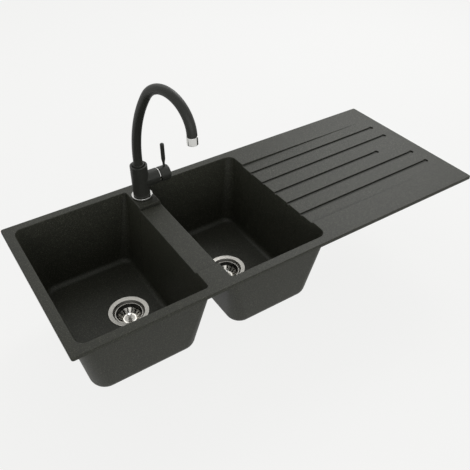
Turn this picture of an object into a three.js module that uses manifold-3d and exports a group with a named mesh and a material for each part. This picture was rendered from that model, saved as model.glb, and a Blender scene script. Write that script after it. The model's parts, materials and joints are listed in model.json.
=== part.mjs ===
// Inset double bowl kitchen sink with a grooved drainer, two basket strainer wastes and a
// swan-neck mixer tap. Millimetres. +X runs along the sink towards the drainer, +Y to the rear
// and +Z up. The origin is the centre of the worktop cut-out, in the plane of the worktop's top.
import * as THREE from "three";
import { mergeVertices } from "three/addons/utils/BufferGeometryUtils.js";
import Module from "manifold-3d";

// ---------------------------------------------------------------- driving dimensions
// Fits
const SEAT_GAP = 0.3; // between faces that rest on each other
const SLIDE_GAP = 0.5; // round what lifts out or turns by hand

// Slab
const SLAB_LENGTH = 1160;
const SLAB_WIDTH = 480;
const SLAB_THICKNESS = 9; // rim above the worktop
const SLAB_CORNER_R = 6;
const EDGE_R = 2; // rounding of every upper edge
const CUTOUT_MARGIN = 10; // slab beyond the worktop cut-out, on every side
const CUTOUT_PLAY = 2; // cut-out beyond the skirt that hangs in it
const SKIRT_DROP = 12;
const SKIRT_WALL = 6;
const SHELL_DROP = 5; // underside of the shell below the rim's seat
const RIB_WALL = 6;
const RIB_BAYS_X = 4;
const RIB_BAYS_Y = 3;

// Bowls
const RIM_LEFT = 24;
const RIM_FRONT = 25;
const BOWL_WIDTH = 431; // front to rear
const LEFT_BOWL_LENGTH = 304;
const RIGHT_BOWL_LENGTH = 275;
const BRIDGE_WIDTH = 60;
const BOWL_DEPTH = 200;
const BOWL_WALL = 8;
const FLOOR_THICKNESS = 9;
const BOWL_DRAFT = THREE.MathUtils.degToRad(8);
const BOWL_FILLET = 24; // between wall and floor
const CORNER_R_OUTER = 22; // plan corners away from the bridge
const CORNER_R_BRIDGE = 8; // plan corners beside the bridge
const CORNER_R_FLOOR = 32; // every corner where the wall meets the floor fillet

// Bridge between the bowls, lower than the deck
const BRIDGE_DROP = 7.5;
const BRIDGE_FRONT_LAND = 57; // deck left in front of the lowered stretch
const TAP_LEDGE_DEPTH = 108; // deck left behind it, from the slab's rear edge

// Drainer
const DRAINER_DROP = 5; // at the bowl's edge, rising to nothing
const DRAINER_LENGTH = 437;
const DRAINER_FRONT_LAND = 80; // from the slab's front edge
const DRAINER_REAR_LAND = 83; // from the slab's rear edge
const GROOVE_COUNT = 5;
const GROOVE_PITCH = 56.6;
const GROOVE_WIDTH = 10;
const GROOVE_DEPTH = 3.5;
const GROOVE_END_R = 7; // round dimple that ends a groove
const GROOVE_REACH = 459; // bowl edge to a dimple's far side
const SHORT_GROOVE_REACH = 375; // the middle groove

// Wastes
const WASTE_FROM_BRIDGE = 148; // waste centre to the bridge's centre line
const WASTE_HOLE_R = 44.5;
const WASTE_SEAT_DEPTH = 3.5;
const FLANGE_R = 53;
const FLANGE_CROWN = 1.2; // top of the flange above the bowl floor
const FLANGE_BEVEL_R = 45; // where the flange turns down into its cup
const SHEET = 1.2; // pressed stainless sheet
const CUP_R = 37; // inside the flange's cup
const CUP_DEPTH = 34;
const CUP_DRAIN_R = 21; // drain opening in the cup's bottom
const SPIDER_HUB_R = 9;
const SPIDER_ARM = 5;
const SPIDER_ARMS = 4;
const GASKET_WIDTH = 7;
const FLANGE_GASKET_T = 1.5;
const CLAMP_GASKET_T = 3;
const SCREW_R = 3;
const SCREW_HEAD_R = 5.5;
const SCREW_HEAD_T = 3;
const BODY_FLANGE_T = 5;
const BODY_WALL = 3;
const BODY_PLAY = 4; // round the flange's cup
const BODY_CHAMBER_DEPTH = 16; // under the cup's bottom, to the outlet
const BODY_CONE = 12;
const BODY_HUB_R = 6.5;
const BODY_HUB_DEPTH = 10;
const OUTLET_R = 20; // bore
const OUTLET_WALL = 3.9;
const OUTLET_LENGTH = 28;

// Strainer basket
const BASKET_LIP_DROP = 8; // lip under the flange's crown
const BASKET_LIP = 3;
const BASKET_SHOULDER_R = 30;
const BASKET_SHOULDER_DROP = 15;
const BASKET_FLOOR_R = 18;
const BASKET_FLOOR_DROP = 28;
const BASKET_SHEET = 1;
const BASKET_SLOTS = 14;
const BASKET_SLOT_WIDTH = 2.8;
const BASKET_SEAL_R = 25;
const KNOB_R = 5.6;
const KNOB_NECK_R = 3.6;
const STUD_R = 2.6; // under the knob, through the basket's floor
const KNOB_HEIGHT = 17;

// Tap, heights above the deck
const TAP_FROM_REAR = 63;
const TAP_HOLE_R = 17.5;
const BASE_GASKET_T = 1;
const BASE_GASKET_WIDTH = 4;
const BASE_RING_R = 27.5;
const BASE_RING_T = 5;
const TAP_BODY_R = 22.5;
const TAP_BODY_TOP = 97;
const BODY_CHAMFER = 1.2;
const HOUSING_HEIGHT = 48; // axis of the cartridge housing
const HOUSING_R = 20.5;
const HOUSING_REACH = 50; // tap axis to the housing's mouth
const SHANK_R = 16;
const SHANK_WALL = 3;
const SHANK_GRIP = 9; // held in the tap body
const SHANK_LENGTH = 62; // below the deck
const WASHER_R = 20;
const RUBBER_WASHER_T = 3;
const STEEL_WASHER_T = 2;
const NUT_ACROSS_FLATS = 36;
const NUT_T = 9;
const HOSE_PORT_R = 4.7;
const HOSE_PORT_OFFSET = 7.2;
const HOSE_PORT_DEPTH = 12;
const WATERWAY_R = 3.6;

// Spout
const SOCKET_R = 15.3;
const SOCKET_FLOOR = 63;
const BEARING_RING_T = 2.4;
const SPIGOT_PLAY = 0.3;
const COLLAR_TOP = 101;
const COLLAR_BORE_R = 7.5;
const LOWER_SEAL_HEIGHT = 69.5;
const UPPER_SEAL_HEIGHT = 83.5;
const SEAL_CORD_R = 1;
const SET_SCREW_HEIGHT = 76;
const SET_SCREW_R = 2.4;
const SET_SCREW_LENGTH = 8;
const SET_SCREW_BITE = 2; // depth of the groove that the screw's tip runs in
const TUBE_R = 12;
const TUBE_BORE_R = 10.3;
const TUBE_FOOT = 88; // where the tube stands in the collar
const SPOUT_HEADING = THREE.MathUtils.degToRad(-76); // towards the front, a little to the right
const RISER_TOP = 110;
const SWAY_R = 345; // the long, easy curve of the riser
const SWAY_ANGLE = THREE.MathUtils.degToRad(35);
const CROWN_R = 81; // the tight curve over the top
const CROWN_ANGLE = THREE.MathUtils.degToRad(145);
const AERATOR_R = 12.9;
const AERATOR_LENGTH = 20;
const AERATOR_WALL = 2.2;
const AERATOR_NECK = 6; // screwed into the tube
const AERATOR_NECK_PLAY = 1; // round the neck, because the tube still curves there
const AERATOR_NECK_WALL = 1.4;
const AERATOR_STOP = 3; // shoulder that the seal rests on
const AERATOR_LIP = 1.2;
const AERATOR_SEAL_T = 1.6;
const AERATOR_SEAL_BORE_R = 5;
const AERATOR_JETS = 6;
const AERATOR_JET_R = 1.7;
const AERATOR_JET_DEPTH = 4;
const AERATOR_JET_CIRCLE_R = 5.6;

// Cartridge and handle, lengths along the housing from the tap axis
const CARTRIDGE_FOOT = 18.5;
const CARTRIDGE_R = 17.2;
const CARTRIDGE_SHOULDER = 46;
const CARTRIDGE_NOSE_R = 13.5;
const CARTRIDGE_NOSE_END = 51;
const CARTRIDGE_WELL_FLOOR = 38;
const RING_VISIBLE_R = 19;
const RING_END = 52.8;
const CARRIER_R = 12.2;
const CARRIER_END = 50.5;
const CARRIER_SLOT = 9; // width of the slot that the stem tilts in
const TILT_PIVOT = 46; // axis that the lever tilts about
const PIN_R = 1.3;
const PIN_LENGTH = 18;
const STEM_WIDTH = 7;
const STEM_FOOT = 42.5;
const STEM_END = 68;
const HUB_R = 20.5;
const HUB_RIM = 54.5;
const HUB_RELIEF = 6.5; // rim cut back opposite the lever, to let the hub tilt
const HUB_END = 82;
const HUB_WALL = 3.2;
const HUB_CAVITY_END = 64;
const LEVER_STATION = 71;
const LEVER_TIP = 137; // above the deck
const LEVER_R = 5.5;
const LEVER_NECK_R = 3.2;
const LEVER_NECK_LENGTH = 8;
const LEVER_TAPER = 18;
const LEVER_FOOT = 8; // screwed into the hub
const GRUB_R = 2.5;
const GRUB_LENGTH = 7;
const PLUG_R = 3.4;
const PLUG_T = 2.6;

// Facets round a full turn
const FINE = 24;
const MEDIUM = 16;
const COARSE = 10;
const POST_FACETS = 32;
const JET_FACETS = 8;
const TUBE_FACETS_A_HALF = 7;
const TUBE_STEPS = 26; // along the swan neck

// ---------------------------------------------------------------- derived places
const DECK = SLAB_THICKNESS;
const X_LEFT = -SLAB_LENGTH / 2;
const Y_FRONT = -SLAB_WIDTH / 2;
const Y_REAR = SLAB_WIDTH / 2;
const BOWL_Y0 = Y_FRONT + RIM_FRONT;
const BOWL_Y1 = BOWL_Y0 + BOWL_WIDTH;
const LEFT_BOWL = {
  x0: X_LEFT + RIM_LEFT,
  x1: X_LEFT + RIM_LEFT + LEFT_BOWL_LENGTH,
  leftR: CORNER_R_OUTER,
  rightR: CORNER_R_BRIDGE,
};
const RIGHT_BOWL = {
  x0: LEFT_BOWL.x1 + BRIDGE_WIDTH,
  x1: LEFT_BOWL.x1 + BRIDGE_WIDTH + RIGHT_BOWL_LENGTH,
  leftR: CORNER_R_BRIDGE,
  rightR: CORNER_R_OUTER,
};
const BRIDGE_X = (LEFT_BOWL.x1 + RIGHT_BOWL.x0) / 2;
const BOWL_FLOOR = DECK - BOWL_DEPTH;
const WASTE_Y = (BOWL_Y0 + BOWL_Y1) / 2;
const wasteX = (side) => BRIDGE_X + side * WASTE_FROM_BRIDGE;
const WASTE_SEAT_R = FLANGE_R + SLIDE_GAP;
const TAP_Y = Y_REAR - TAP_FROM_REAR;
const SKIRT_INSET = CUTOUT_MARGIN + CUTOUT_PLAY;
const TOOL_OVERRUN = 10; // how far a cutting shape runs past the face it opens

// ---------------------------------------------------------------- finishes
const finish = (color, roughness, metalness) =>
  new THREE.MeshStandardMaterial({ color, roughness, metalness });
const GRANITE = finish(0x3c3c38, 0.75, 0);
const BRUSHED = finish(0xb9b8b2, 0.35, 1);
const CHROME = finish(0xd6d6d4, 0.12, 1);
const MATT_BLACK = finish(0x22221f, 0.55, 0.2);
const BRASS = finish(0xb08d4c, 0.4, 1);
const PLASTIC = finish(0x2c2c2e, 0.6, 0);
const WHITE_PLASTIC = finish(0xe4e2dc, 0.5, 0);
const RUBBER = finish(0x161616, 0.9, 0);
const STEEL = finish(0x9a9b9d, 0.45, 1);

// ---------------------------------------------------------------- shaping helpers
const wasm = await Module();
wasm.setup();

// Six times the volume of a closed triangle mesh, negative where its faces point inwards.
function signedVolume(position, index) {
  const [a, b, c] = [new THREE.Vector3(), new THREE.Vector3(), new THREE.Vector3()];
  let sum = 0;
  for (let i = 0; i < index.length; i += 3) {
    a.fromBufferAttribute(position, index[i]);
    b.fromBufferAttribute(position, index[i + 1]);
    c.fromBufferAttribute(position, index[i + 2]);
    sum += a.dot(b.cross(c));
  }
  return sum;
}

// A closed geometry as a solid for joining and cutting.
function solid(geometry) {
  const bare = geometry.clone();
  bare.deleteAttribute("normal");
  bare.deleteAttribute("uv");
  const welded = mergeVertices(bare, 1e-4);
  const index = [];
  const old = welded.index.array;
  for (let i = 0; i < old.length; i += 3) {
    const [a, b, c] = [old[i], old[i + 1], old[i + 2]];
    if (a !== b && b !== c && c !== a) index.push(a, b, c);
  }
  if (signedVolume(welded.attributes.position, index) < 0) index.reverse();
  return new wasm.Manifold(new wasm.Mesh({
    numProp: 3,
    vertProperties: Float32Array.from(welded.attributes.position.array),
    triVerts: Uint32Array.from(index),
  }));
}

function join(...geometries) {
  return geometries.map(asSolid).reduce((whole, piece) => whole.add(piece));
}

function cut(body, ...tools) {
  return tools.map(asSolid).reduce((rest, tool) => rest.subtract(tool), asSolid(body));
}

function asSolid(shape) {
  return shape.isBufferGeometry ? solid(shape) : shape;
}

function asGeometry(shape) {
  const { vertProperties, triVerts } = asSolid(shape).getMesh();
  const geometry = new THREE.BufferGeometry();
  geometry.setAttribute("position", new THREE.BufferAttribute(Float32Array.from(vertProperties), 3));
  geometry.setIndex(new THREE.BufferAttribute(Uint32Array.from(triVerts), 1));
  return geometry;
}

function piece(parent, name, shape, material) {
  const geometry = asGeometry(shape).toNonIndexed();
  geometry.computeVertexNormals();
  const mesh = new THREE.Mesh(geometry, material);
  mesh.name = name;
  parent.add(mesh);
  return mesh;
}

// A solid turned about Z from [radius, height] points. The outline closes on itself.
function turned(points, segments = FINE) {
  const outline = points.map(([r, z]) => new THREE.Vector2(r, z));
  outline.push(outline[0].clone());
  return new THREE.LatheGeometry(outline, segments).rotateX(Math.PI / 2);
}

function ring(inner, outer, z0, z1, segments = FINE) {
  return turned([[inner, z0], [outer, z0], [outer, z1], [inner, z1]], segments);
}

function disc(radius, z0, z1, segments = FINE) {
  const geometry = new THREE.CylinderGeometry(radius, radius, z1 - z0, segments);
  return geometry.rotateX(Math.PI / 2).translate(0, 0, (z0 + z1) / 2);
}

function block(x0, x1, y0, y1, z0, z1) {
  const geometry = new THREE.BoxGeometry(x1 - x0, y1 - y0, z1 - z0);
  return geometry.translate((x0 + x1) / 2, (y0 + y1) / 2, (z0 + z1) / 2);
}

// A prism whose [x, z] outline runs along Y.
function prismAlongY(points, y0, y1) {
  const shape = new THREE.Shape(points.map(([x, z]) => new THREE.Vector2(x, z)));
  const geometry = new THREE.ExtrudeGeometry(shape, { depth: y1 - y0, bevelEnabled: false });
  return geometry.rotateX(Math.PI / 2).translate(0, y1, 0);
}

// Turns a shape made about Z so that it lies along +X.
const alongX = (geometry) => geometry.rotateY(Math.PI / 2);

// One level of a lofted box: a rectangle with its own radius at the left and right corners.
function roundedRectangle(box, inset, leftR, rightR, z, steps) {
  const corners = [
    { x: box.x1 - inset - rightR, y: box.y1 - inset - rightR, r: rightR, from: 0 },
    { x: box.x0 + inset + leftR, y: box.y1 - inset - leftR, r: leftR, from: Math.PI / 2 },
    { x: box.x0 + inset + leftR, y: box.y0 + inset + leftR, r: leftR, from: Math.PI },
    { x: box.x1 - inset - rightR, y: box.y0 + inset + rightR, r: rightR, from: -Math.PI / 2 },
  ];
  const points = [];
  for (const { x, y, r, from } of corners) {
    for (let i = 0; i <= steps; i += 1) {
      const angle = from + (Math.PI / 2) * (i / steps);
      points.push([x + r * Math.cos(angle), y + r * Math.sin(angle), z]);
    }
  }
  return points;
}

// A closed skin over levels of equal point count, with a flat cap at each end.
function loft(levels) {
  const count = levels[0].length;
  const last = (levels.length - 1) * count;
  const index = [];
  for (let level = 0; level < levels.length - 1; level += 1) {
    for (let i = 0; i < count; i += 1) {
      const a = level * count + i;
      const b = level * count + ((i + 1) % count);
      index.push(a, b, b + count, a, b + count, a + count);
    }
  }
  for (let i = 1; i < count - 1; i += 1) {
    index.push(0, i + 1, i, last, last + i, last + i + 1);
  }
  const geometry = new THREE.BufferGeometry();
  geometry.setAttribute("position", new THREE.Float32BufferAttribute(levels.flat(2), 3));
  geometry.setIndex(index);
  return geometry;
}

// ---------------------------------------------------------------- sink basin
// Levels of a bowl from its open top to its floor. `wall` is how far the skin stands outside the
// bowl's inner face, so that the same rule makes the hollow (0) and the outside of the moulding.
function bowlLevels(bowl, wall, top, floor, steps, filletSteps) {
  const box = { x0: bowl.x0 - wall, x1: bowl.x1 + wall, y0: BOWL_Y0 - wall, y1: BOWL_Y1 + wall };
  const fillet = BOWL_FILLET + wall;
  const floorR = CORNER_R_FLOOR + wall;
  const centreZ = floor + fillet;
  const centreInset = (DECK - centreZ) * Math.tan(BOWL_DRAFT) + fillet / Math.cos(BOWL_DRAFT);
  const tangentInset = centreInset - fillet * Math.cos(BOWL_DRAFT);
  const levels = [];
  levels.push(roundedRectangle(box, 0, bowl.leftR + wall, bowl.rightR + wall, top, steps));
  for (let i = 0; i <= filletSteps; i += 1) {
    const angle = BOWL_DRAFT + (Math.PI / 2 - BOWL_DRAFT) * (i / filletSteps);
    const inset = centreInset - fillet * Math.cos(angle);
    const z = centreZ - fillet * Math.sin(angle);
    const radius = floorR - (inset - tangentInset);
    levels.push(roundedRectangle(box, inset, radius, radius, z, steps));
  }
  return levels;
}

// The hollow of a bowl, with its upper edge rounded over on to the deck.
function bowlHollow(bowl) {
  const levels = bowlLevels(bowl, 0, DECK - EDGE_R, BOWL_FLOOR, 7, 5);
  const box = { x0: bowl.x0, x1: bowl.x1, y0: BOWL_Y0, y1: BOWL_Y1 };
  const lipSteps = 3;
  const lip = [];
  for (let i = lipSteps; i >= 1; i -= 1) {
    const angle = (Math.PI / 2) * (i / lipSteps);
    const grow = EDGE_R * (1 - Math.cos(angle));
    const z = DECK - EDGE_R + EDGE_R * Math.sin(angle);
    lip.push(roundedRectangle(box, -grow, bowl.leftR + grow, bowl.rightR + grow, z, 7));
  }
  const above = lip[0].map(([x, y]) => [x, y, DECK + TOOL_OVERRUN]);
  return loft([above, ...lip, ...levels]);
}

function slab() {
  const box = { x0: X_LEFT, x1: -X_LEFT, y0: Y_FRONT, y1: Y_REAR };
  const steps = 3;
  const levels = [];
  for (let i = steps; i >= 0; i -= 1) {
    const angle = (Math.PI / 2) * (i / steps);
    const inset = EDGE_R * (1 - Math.cos(angle));
    const radius = SLAB_CORNER_R - inset;
    const z = DECK - EDGE_R + EDGE_R * Math.sin(angle);
    levels.push(roundedRectangle(box, inset, radius, radius, z, steps));
  }
  levels.push(roundedRectangle(box, 0, SLAB_CORNER_R, SLAB_CORNER_R, 0, steps));
  return loft(levels);
}

// Skirt and ribs that hang inside the worktop cut-out.
function underside() {
  const x0 = X_LEFT + SKIRT_INSET;
  const y0 = Y_FRONT + SKIRT_INSET;
  const tray = block(x0, -x0, y0, -y0, -SKIRT_DROP, DECK / 2);
  const pockets = [];
  const pocketY0 = y0 + SKIRT_WALL;
  const pocketTop = -SHELL_DROP;
  const pocketBottom = -SKIRT_DROP - TOOL_OVERRUN;
  const firstX = RIGHT_BOWL.x1 + BOWL_WALL + RIB_WALL;
  const pitchX = (-x0 - SKIRT_WALL + RIB_WALL - firstX) / RIB_BAYS_X;
  const pitchY = (-2 * pocketY0 + RIB_WALL) / RIB_BAYS_Y;
  for (let i = 0; i < RIB_BAYS_X; i += 1) {
    for (let j = 0; j < RIB_BAYS_Y; j += 1) {
      const x = firstX + i * pitchX;
      const y = pocketY0 + j * pitchY;
      pockets.push(block(x, x + pitchX - RIB_WALL, y, y + pitchY - RIB_WALL, pocketBottom, pocketTop));
    }
  }
  const bridgeX0 = LEFT_BOWL.x1 - CORNER_R_FLOOR;
  const bridgeX1 = RIGHT_BOWL.x0 + CORNER_R_FLOOR;
  pockets.push(block(bridgeX0, bridgeX1, pocketY0, -pocketY0, pocketBottom, pocketTop));
  return cut(tray, ...pockets);
}

// Lower outline of a cutting shape that leaves a rounded edge of EDGE_R at x, falling away
// towards `side`.
function roundedDrop(x, z, side) {
  const points = [];
  const steps = 3;
  for (let i = 0; i <= steps; i += 1) {
    const angle = (Math.PI / 2) * (i / steps);
    points.push([x - side * EDGE_R * (1 - Math.sin(angle)), z - EDGE_R * (1 - Math.cos(angle))]);
  }
  points.push([x + side * TOOL_OVERRUN, z - EDGE_R]);
  return points;
}

// Cuts the lowered stretch of the bridge.
function bridgeTool() {
  const z = DECK - BRIDGE_DROP;
  const top = DECK + TOOL_OVERRUN;
  const left = roundedDrop(LEFT_BOWL.x1, z, -1).reverse();
  const right = roundedDrop(RIGHT_BOWL.x0, z, 1);
  const outline = [
    ...left, ...right,
    [RIGHT_BOWL.x0 + TOOL_OVERRUN, top], [LEFT_BOWL.x1 - TOOL_OVERRUN, top],
  ];
  return prismAlongY(outline, BOWL_Y0 + BRIDGE_FRONT_LAND, Y_REAR - TAP_LEDGE_DEPTH);
}

// Cuts the sloped drainer, which falls to the right bowl.
function drainerTool() {
  const top = DECK + TOOL_OVERRUN;
  const outline = [
    ...roundedDrop(RIGHT_BOWL.x1, DECK - DRAINER_DROP, -1).reverse(),
    [RIGHT_BOWL.x1 + DRAINER_LENGTH, DECK],
    [RIGHT_BOWL.x1 + DRAINER_LENGTH, top],
    [RIGHT_BOWL.x1 - TOOL_OVERRUN, top],
  ];
  return prismAlongY(outline, Y_FRONT + DRAINER_FRONT_LAND, Y_REAR - DRAINER_REAR_LAND);
}

// One groove of the drainer: a round-bottomed channel parallel to the slope, open to the bowl,
// with a round dimple at its far end.
function grooveTool(reach, y) {
  const halfWidth = GROOVE_WIDTH / 2;
  const shape = new THREE.Shape();
  shape.moveTo(-halfWidth, TOOL_OVERRUN);
  shape.lineTo(-halfWidth, 0);
  shape.absellipse(0, 0, halfWidth, GROOVE_DEPTH, Math.PI, 2 * Math.PI, false, 0);
  shape.lineTo(halfWidth, TOOL_OVERRUN);
  const length = reach - GROOVE_END_R + TOOL_OVERRUN;
  const options = { depth: length, bevelEnabled: false, curveSegments: 3 };
  const channel = new THREE.ExtrudeGeometry(shape, options);
  channel.rotateX(Math.PI / 2).rotateZ(Math.PI / 2).translate(-TOOL_OVERRUN, 0, 0);
  const dimple = turned([
    [0, -GROOVE_DEPTH], [GROOVE_END_R * 0.6, -GROOVE_DEPTH * 0.8],
    [GROOVE_END_R, 0], [GROOVE_END_R, TOOL_OVERRUN], [0, TOOL_OVERRUN],
  ], COARSE);
  dimple.translate(reach - GROOVE_END_R, 0, 0);
  const slope = Math.atan2(DRAINER_DROP, DRAINER_LENGTH);
  const place = (geometry) => {
    return geometry.rotateY(-slope).translate(RIGHT_BOWL.x1, y, DECK - DRAINER_DROP);
  };
  return join(place(channel), place(dimple));
}

function drainerGrooves() {
  const middle = (GROOVE_COUNT - 1) / 2;
  const grooves = [];
  for (let i = 0; i < GROOVE_COUNT; i += 1) {
    const reach = i === middle ? SHORT_GROOVE_REACH : GROOVE_REACH;
    const centre = (DRAINER_FRONT_LAND - DRAINER_REAR_LAND) / 2;
    grooves.push(grooveTool(reach, centre + (i - middle) * GROOVE_PITCH));
  }
  return grooves;
}

function basin() {
  const outside = (bowl) => {
    return loft(bowlLevels(bowl, BOWL_WALL, 0, BOWL_FLOOR - FLOOR_THICKNESS, 5, 3));
  };
  const body = join(slab(), underside(), outside(LEFT_BOWL), outside(RIGHT_BOWL));
  const wasteTools = [-1, 1].flatMap((side) => [
    disc(WASTE_HOLE_R, BOWL_FLOOR - 2 * FLOOR_THICKNESS, BOWL_FLOOR + TOOL_OVERRUN),
    disc(WASTE_SEAT_R, BOWL_FLOOR - WASTE_SEAT_DEPTH, BOWL_FLOOR + TOOL_OVERRUN),
  ].map((tool) => tool.translate(wasteX(side), WASTE_Y, 0)));
  const tapHole = disc(TAP_HOLE_R, -SKIRT_DROP, DECK + TOOL_OVERRUN).translate(BRIDGE_X, TAP_Y, 0);
  return cut(
    body, bowlHollow(LEFT_BOWL), bowlHollow(RIGHT_BOWL), bridgeTool(), drainerTool(),
    ...drainerGrooves(), ...wasteTools, tapHole,
  );
}

// ---------------------------------------------------------------- basket strainer waste
// Heights are from the bowl floor.
const CUP_FLOOR = -CUP_DEPTH;
const GASKET_OUTER_R = FLANGE_R - SLIDE_GAP;
const FLANGE_UNDER = -WASTE_SEAT_DEPTH + 2 * SEAT_GAP + FLANGE_GASKET_T;
const BODY_TOP = -FLOOR_THICKNESS - 2 * SEAT_GAP - CLAMP_GASKET_T;
const BODY_INNER_R = CUP_R + SHEET + BODY_PLAY;
const CHAMBER_FLOOR = CUP_FLOOR - SHEET - BODY_CHAMBER_DEPTH;

// Arms of a spider from a hub out to a wall, crossing at the centre.
function spider(reach, z0, z1) {
  const arms = [];
  for (let i = 0; i < SPIDER_ARMS / 2; i += 1) {
    const arm = block(-reach, reach, -SPIDER_ARM / 2, SPIDER_ARM / 2, z0, z1);
    arms.push(arm.rotateZ((Math.PI * i * 2) / SPIDER_ARMS + Math.PI / SPIDER_ARMS));
  }
  return arms;
}

function wasteFlange() {
  const crown = (FLANGE_R + FLANGE_BEVEL_R) / 2 + 1;
  const bevelDrop = -5.5;
  const shell = turned([
    [CUP_DRAIN_R, CUP_FLOOR - SHEET], [CUP_R + SHEET - 2, CUP_FLOOR - SHEET],
    [CUP_R + SHEET, CUP_FLOOR - SHEET + 2], [CUP_R + SHEET, bevelDrop - SHEET],
    [FLANGE_BEVEL_R, FLANGE_UNDER], [FLANGE_R - 1, FLANGE_UNDER], [FLANGE_R, FLANGE_UNDER + 1],
    [FLANGE_R - 1, FLANGE_CROWN - 0.5], [crown, FLANGE_CROWN], [FLANGE_BEVEL_R, FLANGE_CROWN - 0.9],
    [CUP_R + 1.2, bevelDrop + 0.6], [CUP_R, bevelDrop - 1], [CUP_R, CUP_FLOOR + 2],
    [CUP_R - 2, CUP_FLOOR], [CUP_DRAIN_R, CUP_FLOOR],
  ]);
  const z0 = CUP_FLOOR - SHEET;
  const hub = disc(SPIDER_HUB_R, z0, CUP_FLOOR, COARSE);
  const arms = spider(CUP_DRAIN_R + 2, z0, CUP_FLOOR);
  const screwHole = disc(SCREW_R + SEAT_GAP, z0 - 1, CUP_FLOOR + 1, COARSE);
  return cut(join(shell, hub, ...arms), screwHole);
}

function wasteBody() {
  const coneFoot = CHAMBER_FLOOR - BODY_CONE;
  const outer = BODY_INNER_R + BODY_WALL;
  const pipe = OUTLET_R + OUTLET_WALL;
  const shell = turned([
    [OUTLET_R, coneFoot - OUTLET_LENGTH], [pipe - 1, coneFoot - OUTLET_LENGTH],
    [pipe, coneFoot - OUTLET_LENGTH + 1], [pipe, coneFoot], [outer, CHAMBER_FLOOR],
    [outer, BODY_TOP - BODY_FLANGE_T], [FLANGE_R, BODY_TOP - BODY_FLANGE_T], [FLANGE_R, BODY_TOP],
    [BODY_INNER_R, BODY_TOP], [BODY_INNER_R, CHAMBER_FLOOR], [OUTLET_R, coneFoot + 2],
  ]);
  const hubTop = CUP_FLOOR - SHEET - SEAT_GAP;
  const hub = disc(BODY_HUB_R, hubTop - BODY_HUB_DEPTH, hubTop, COARSE);
  const arms = spider(BODY_INNER_R + 1, hubTop - BODY_HUB_DEPTH, hubTop - 2);
  const thread = disc(SCREW_R + SEAT_GAP, hubTop - BODY_HUB_DEPTH + 1, hubTop + 1, COARSE);
  return cut(join(shell, hub, ...arms), thread);
}

function clampScrew() {
  const under = CUP_FLOOR + SEAT_GAP;
  const tip = CUP_FLOOR - SHEET - BODY_HUB_DEPTH + 1.5;
  const top = under + SCREW_HEAD_T;
  const slot = block(-0.8, 0.8, -SCREW_HEAD_R, SCREW_HEAD_R, top - 1.2, top + 1);
  const screw = turned([
    [0, tip], [SCREW_R - 0.8, tip], [SCREW_R, tip + 0.8], [SCREW_R, under], [SCREW_HEAD_R, under],
    [SCREW_HEAD_R, top - 1], [SCREW_HEAD_R - 1, top], [0, top],
  ], COARSE);
  return cut(screw, slot);
}

// The lift-out basket: a pressed bowl with a lip, a shoulder, a slotted cone and a flat floor.
const BASKET_LIP_R = CUP_R - SLIDE_GAP;
const BASKET_LIP_Z = FLANGE_CROWN - BASKET_LIP_DROP;
const BASKET_SHOULDER_Z = FLANGE_CROWN - BASKET_SHOULDER_DROP;
const BASKET_FLOOR_Z = FLANGE_CROWN - BASKET_FLOOR_DROP;

function basket() {
  const t = BASKET_SHEET;
  const shell = turned([
    [0, BASKET_FLOOR_Z - t], [BASKET_FLOOR_R, BASKET_FLOOR_Z - t],
    [BASKET_SHOULDER_R + t, BASKET_SHOULDER_Z - t], [BASKET_LIP_R - BASKET_LIP + t, BASKET_LIP_Z - t],
    [BASKET_LIP_R, BASKET_LIP_Z - t], [BASKET_LIP_R, BASKET_LIP_Z],
    [BASKET_LIP_R - BASKET_LIP, BASKET_LIP_Z], [BASKET_SHOULDER_R, BASKET_SHOULDER_Z],
    [BASKET_FLOOR_R - t / 2, BASKET_FLOOR_Z], [0, BASKET_FLOOR_Z],
  ]);
  const slots = [];
  const inner = BASKET_FLOOR_R + 0.5;
  const outer = BASKET_SHOULDER_R - 1.5;
  for (let i = 0; i < BASKET_SLOTS; i += 1) {
    const slot = block(inner, outer, -BASKET_SLOT_WIDTH / 2, BASKET_SLOT_WIDTH / 2,
      BASKET_FLOOR_Z - 2 * t, BASKET_LIP_Z);
    slots.push(slot.rotateZ((2 * Math.PI * i) / BASKET_SLOTS));
  }
  const studHole = disc(STUD_R + SEAT_GAP, BASKET_FLOOR_Z - 2 * t, BASKET_FLOOR_Z + t, COARSE);
  return cut(shell, ...slots, studHole);
}

// The knob stands on the basket's floor, and its stud goes through the floor to hold the seal.
function basketKnob() {
  const foot = BASKET_FLOOR_Z + SEAT_GAP;
  const top = foot + KNOB_HEIGHT;
  const studFoot = BASKET_FLOOR_Z - BASKET_SHEET - 2;
  return turned([
    [0, studFoot], [STUD_R, studFoot], [STUD_R, foot], [KNOB_R, foot], [KNOB_R, foot + 1.5],
    [KNOB_NECK_R, foot + 4], [KNOB_NECK_R, top - 7], [KNOB_R, top - 4], [KNOB_R, top - 1],
    [KNOB_R - 1, top], [0, top],
  ], COARSE);
}

function basketSeal() {
  const top = BASKET_FLOOR_Z - BASKET_SHEET - SEAT_GAP;
  const bottom = CUP_FLOOR + SEAT_GAP;
  const stud = STUD_R + SEAT_GAP;
  const recess = bottom + SCREW_HEAD_T + SEAT_GAP;
  return turned([
    [stud, recess], [SCREW_HEAD_R + SLIDE_GAP, recess], [SCREW_HEAD_R + SLIDE_GAP, bottom],
    [BASKET_SEAL_R - 3, bottom], [BASKET_SEAL_R, bottom + 1.2], [BASKET_SEAL_R - 1, bottom + 2.4],
    [BASKET_FLOOR_R - 1, top], [stud, top],
  ], MEDIUM);
}

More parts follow.
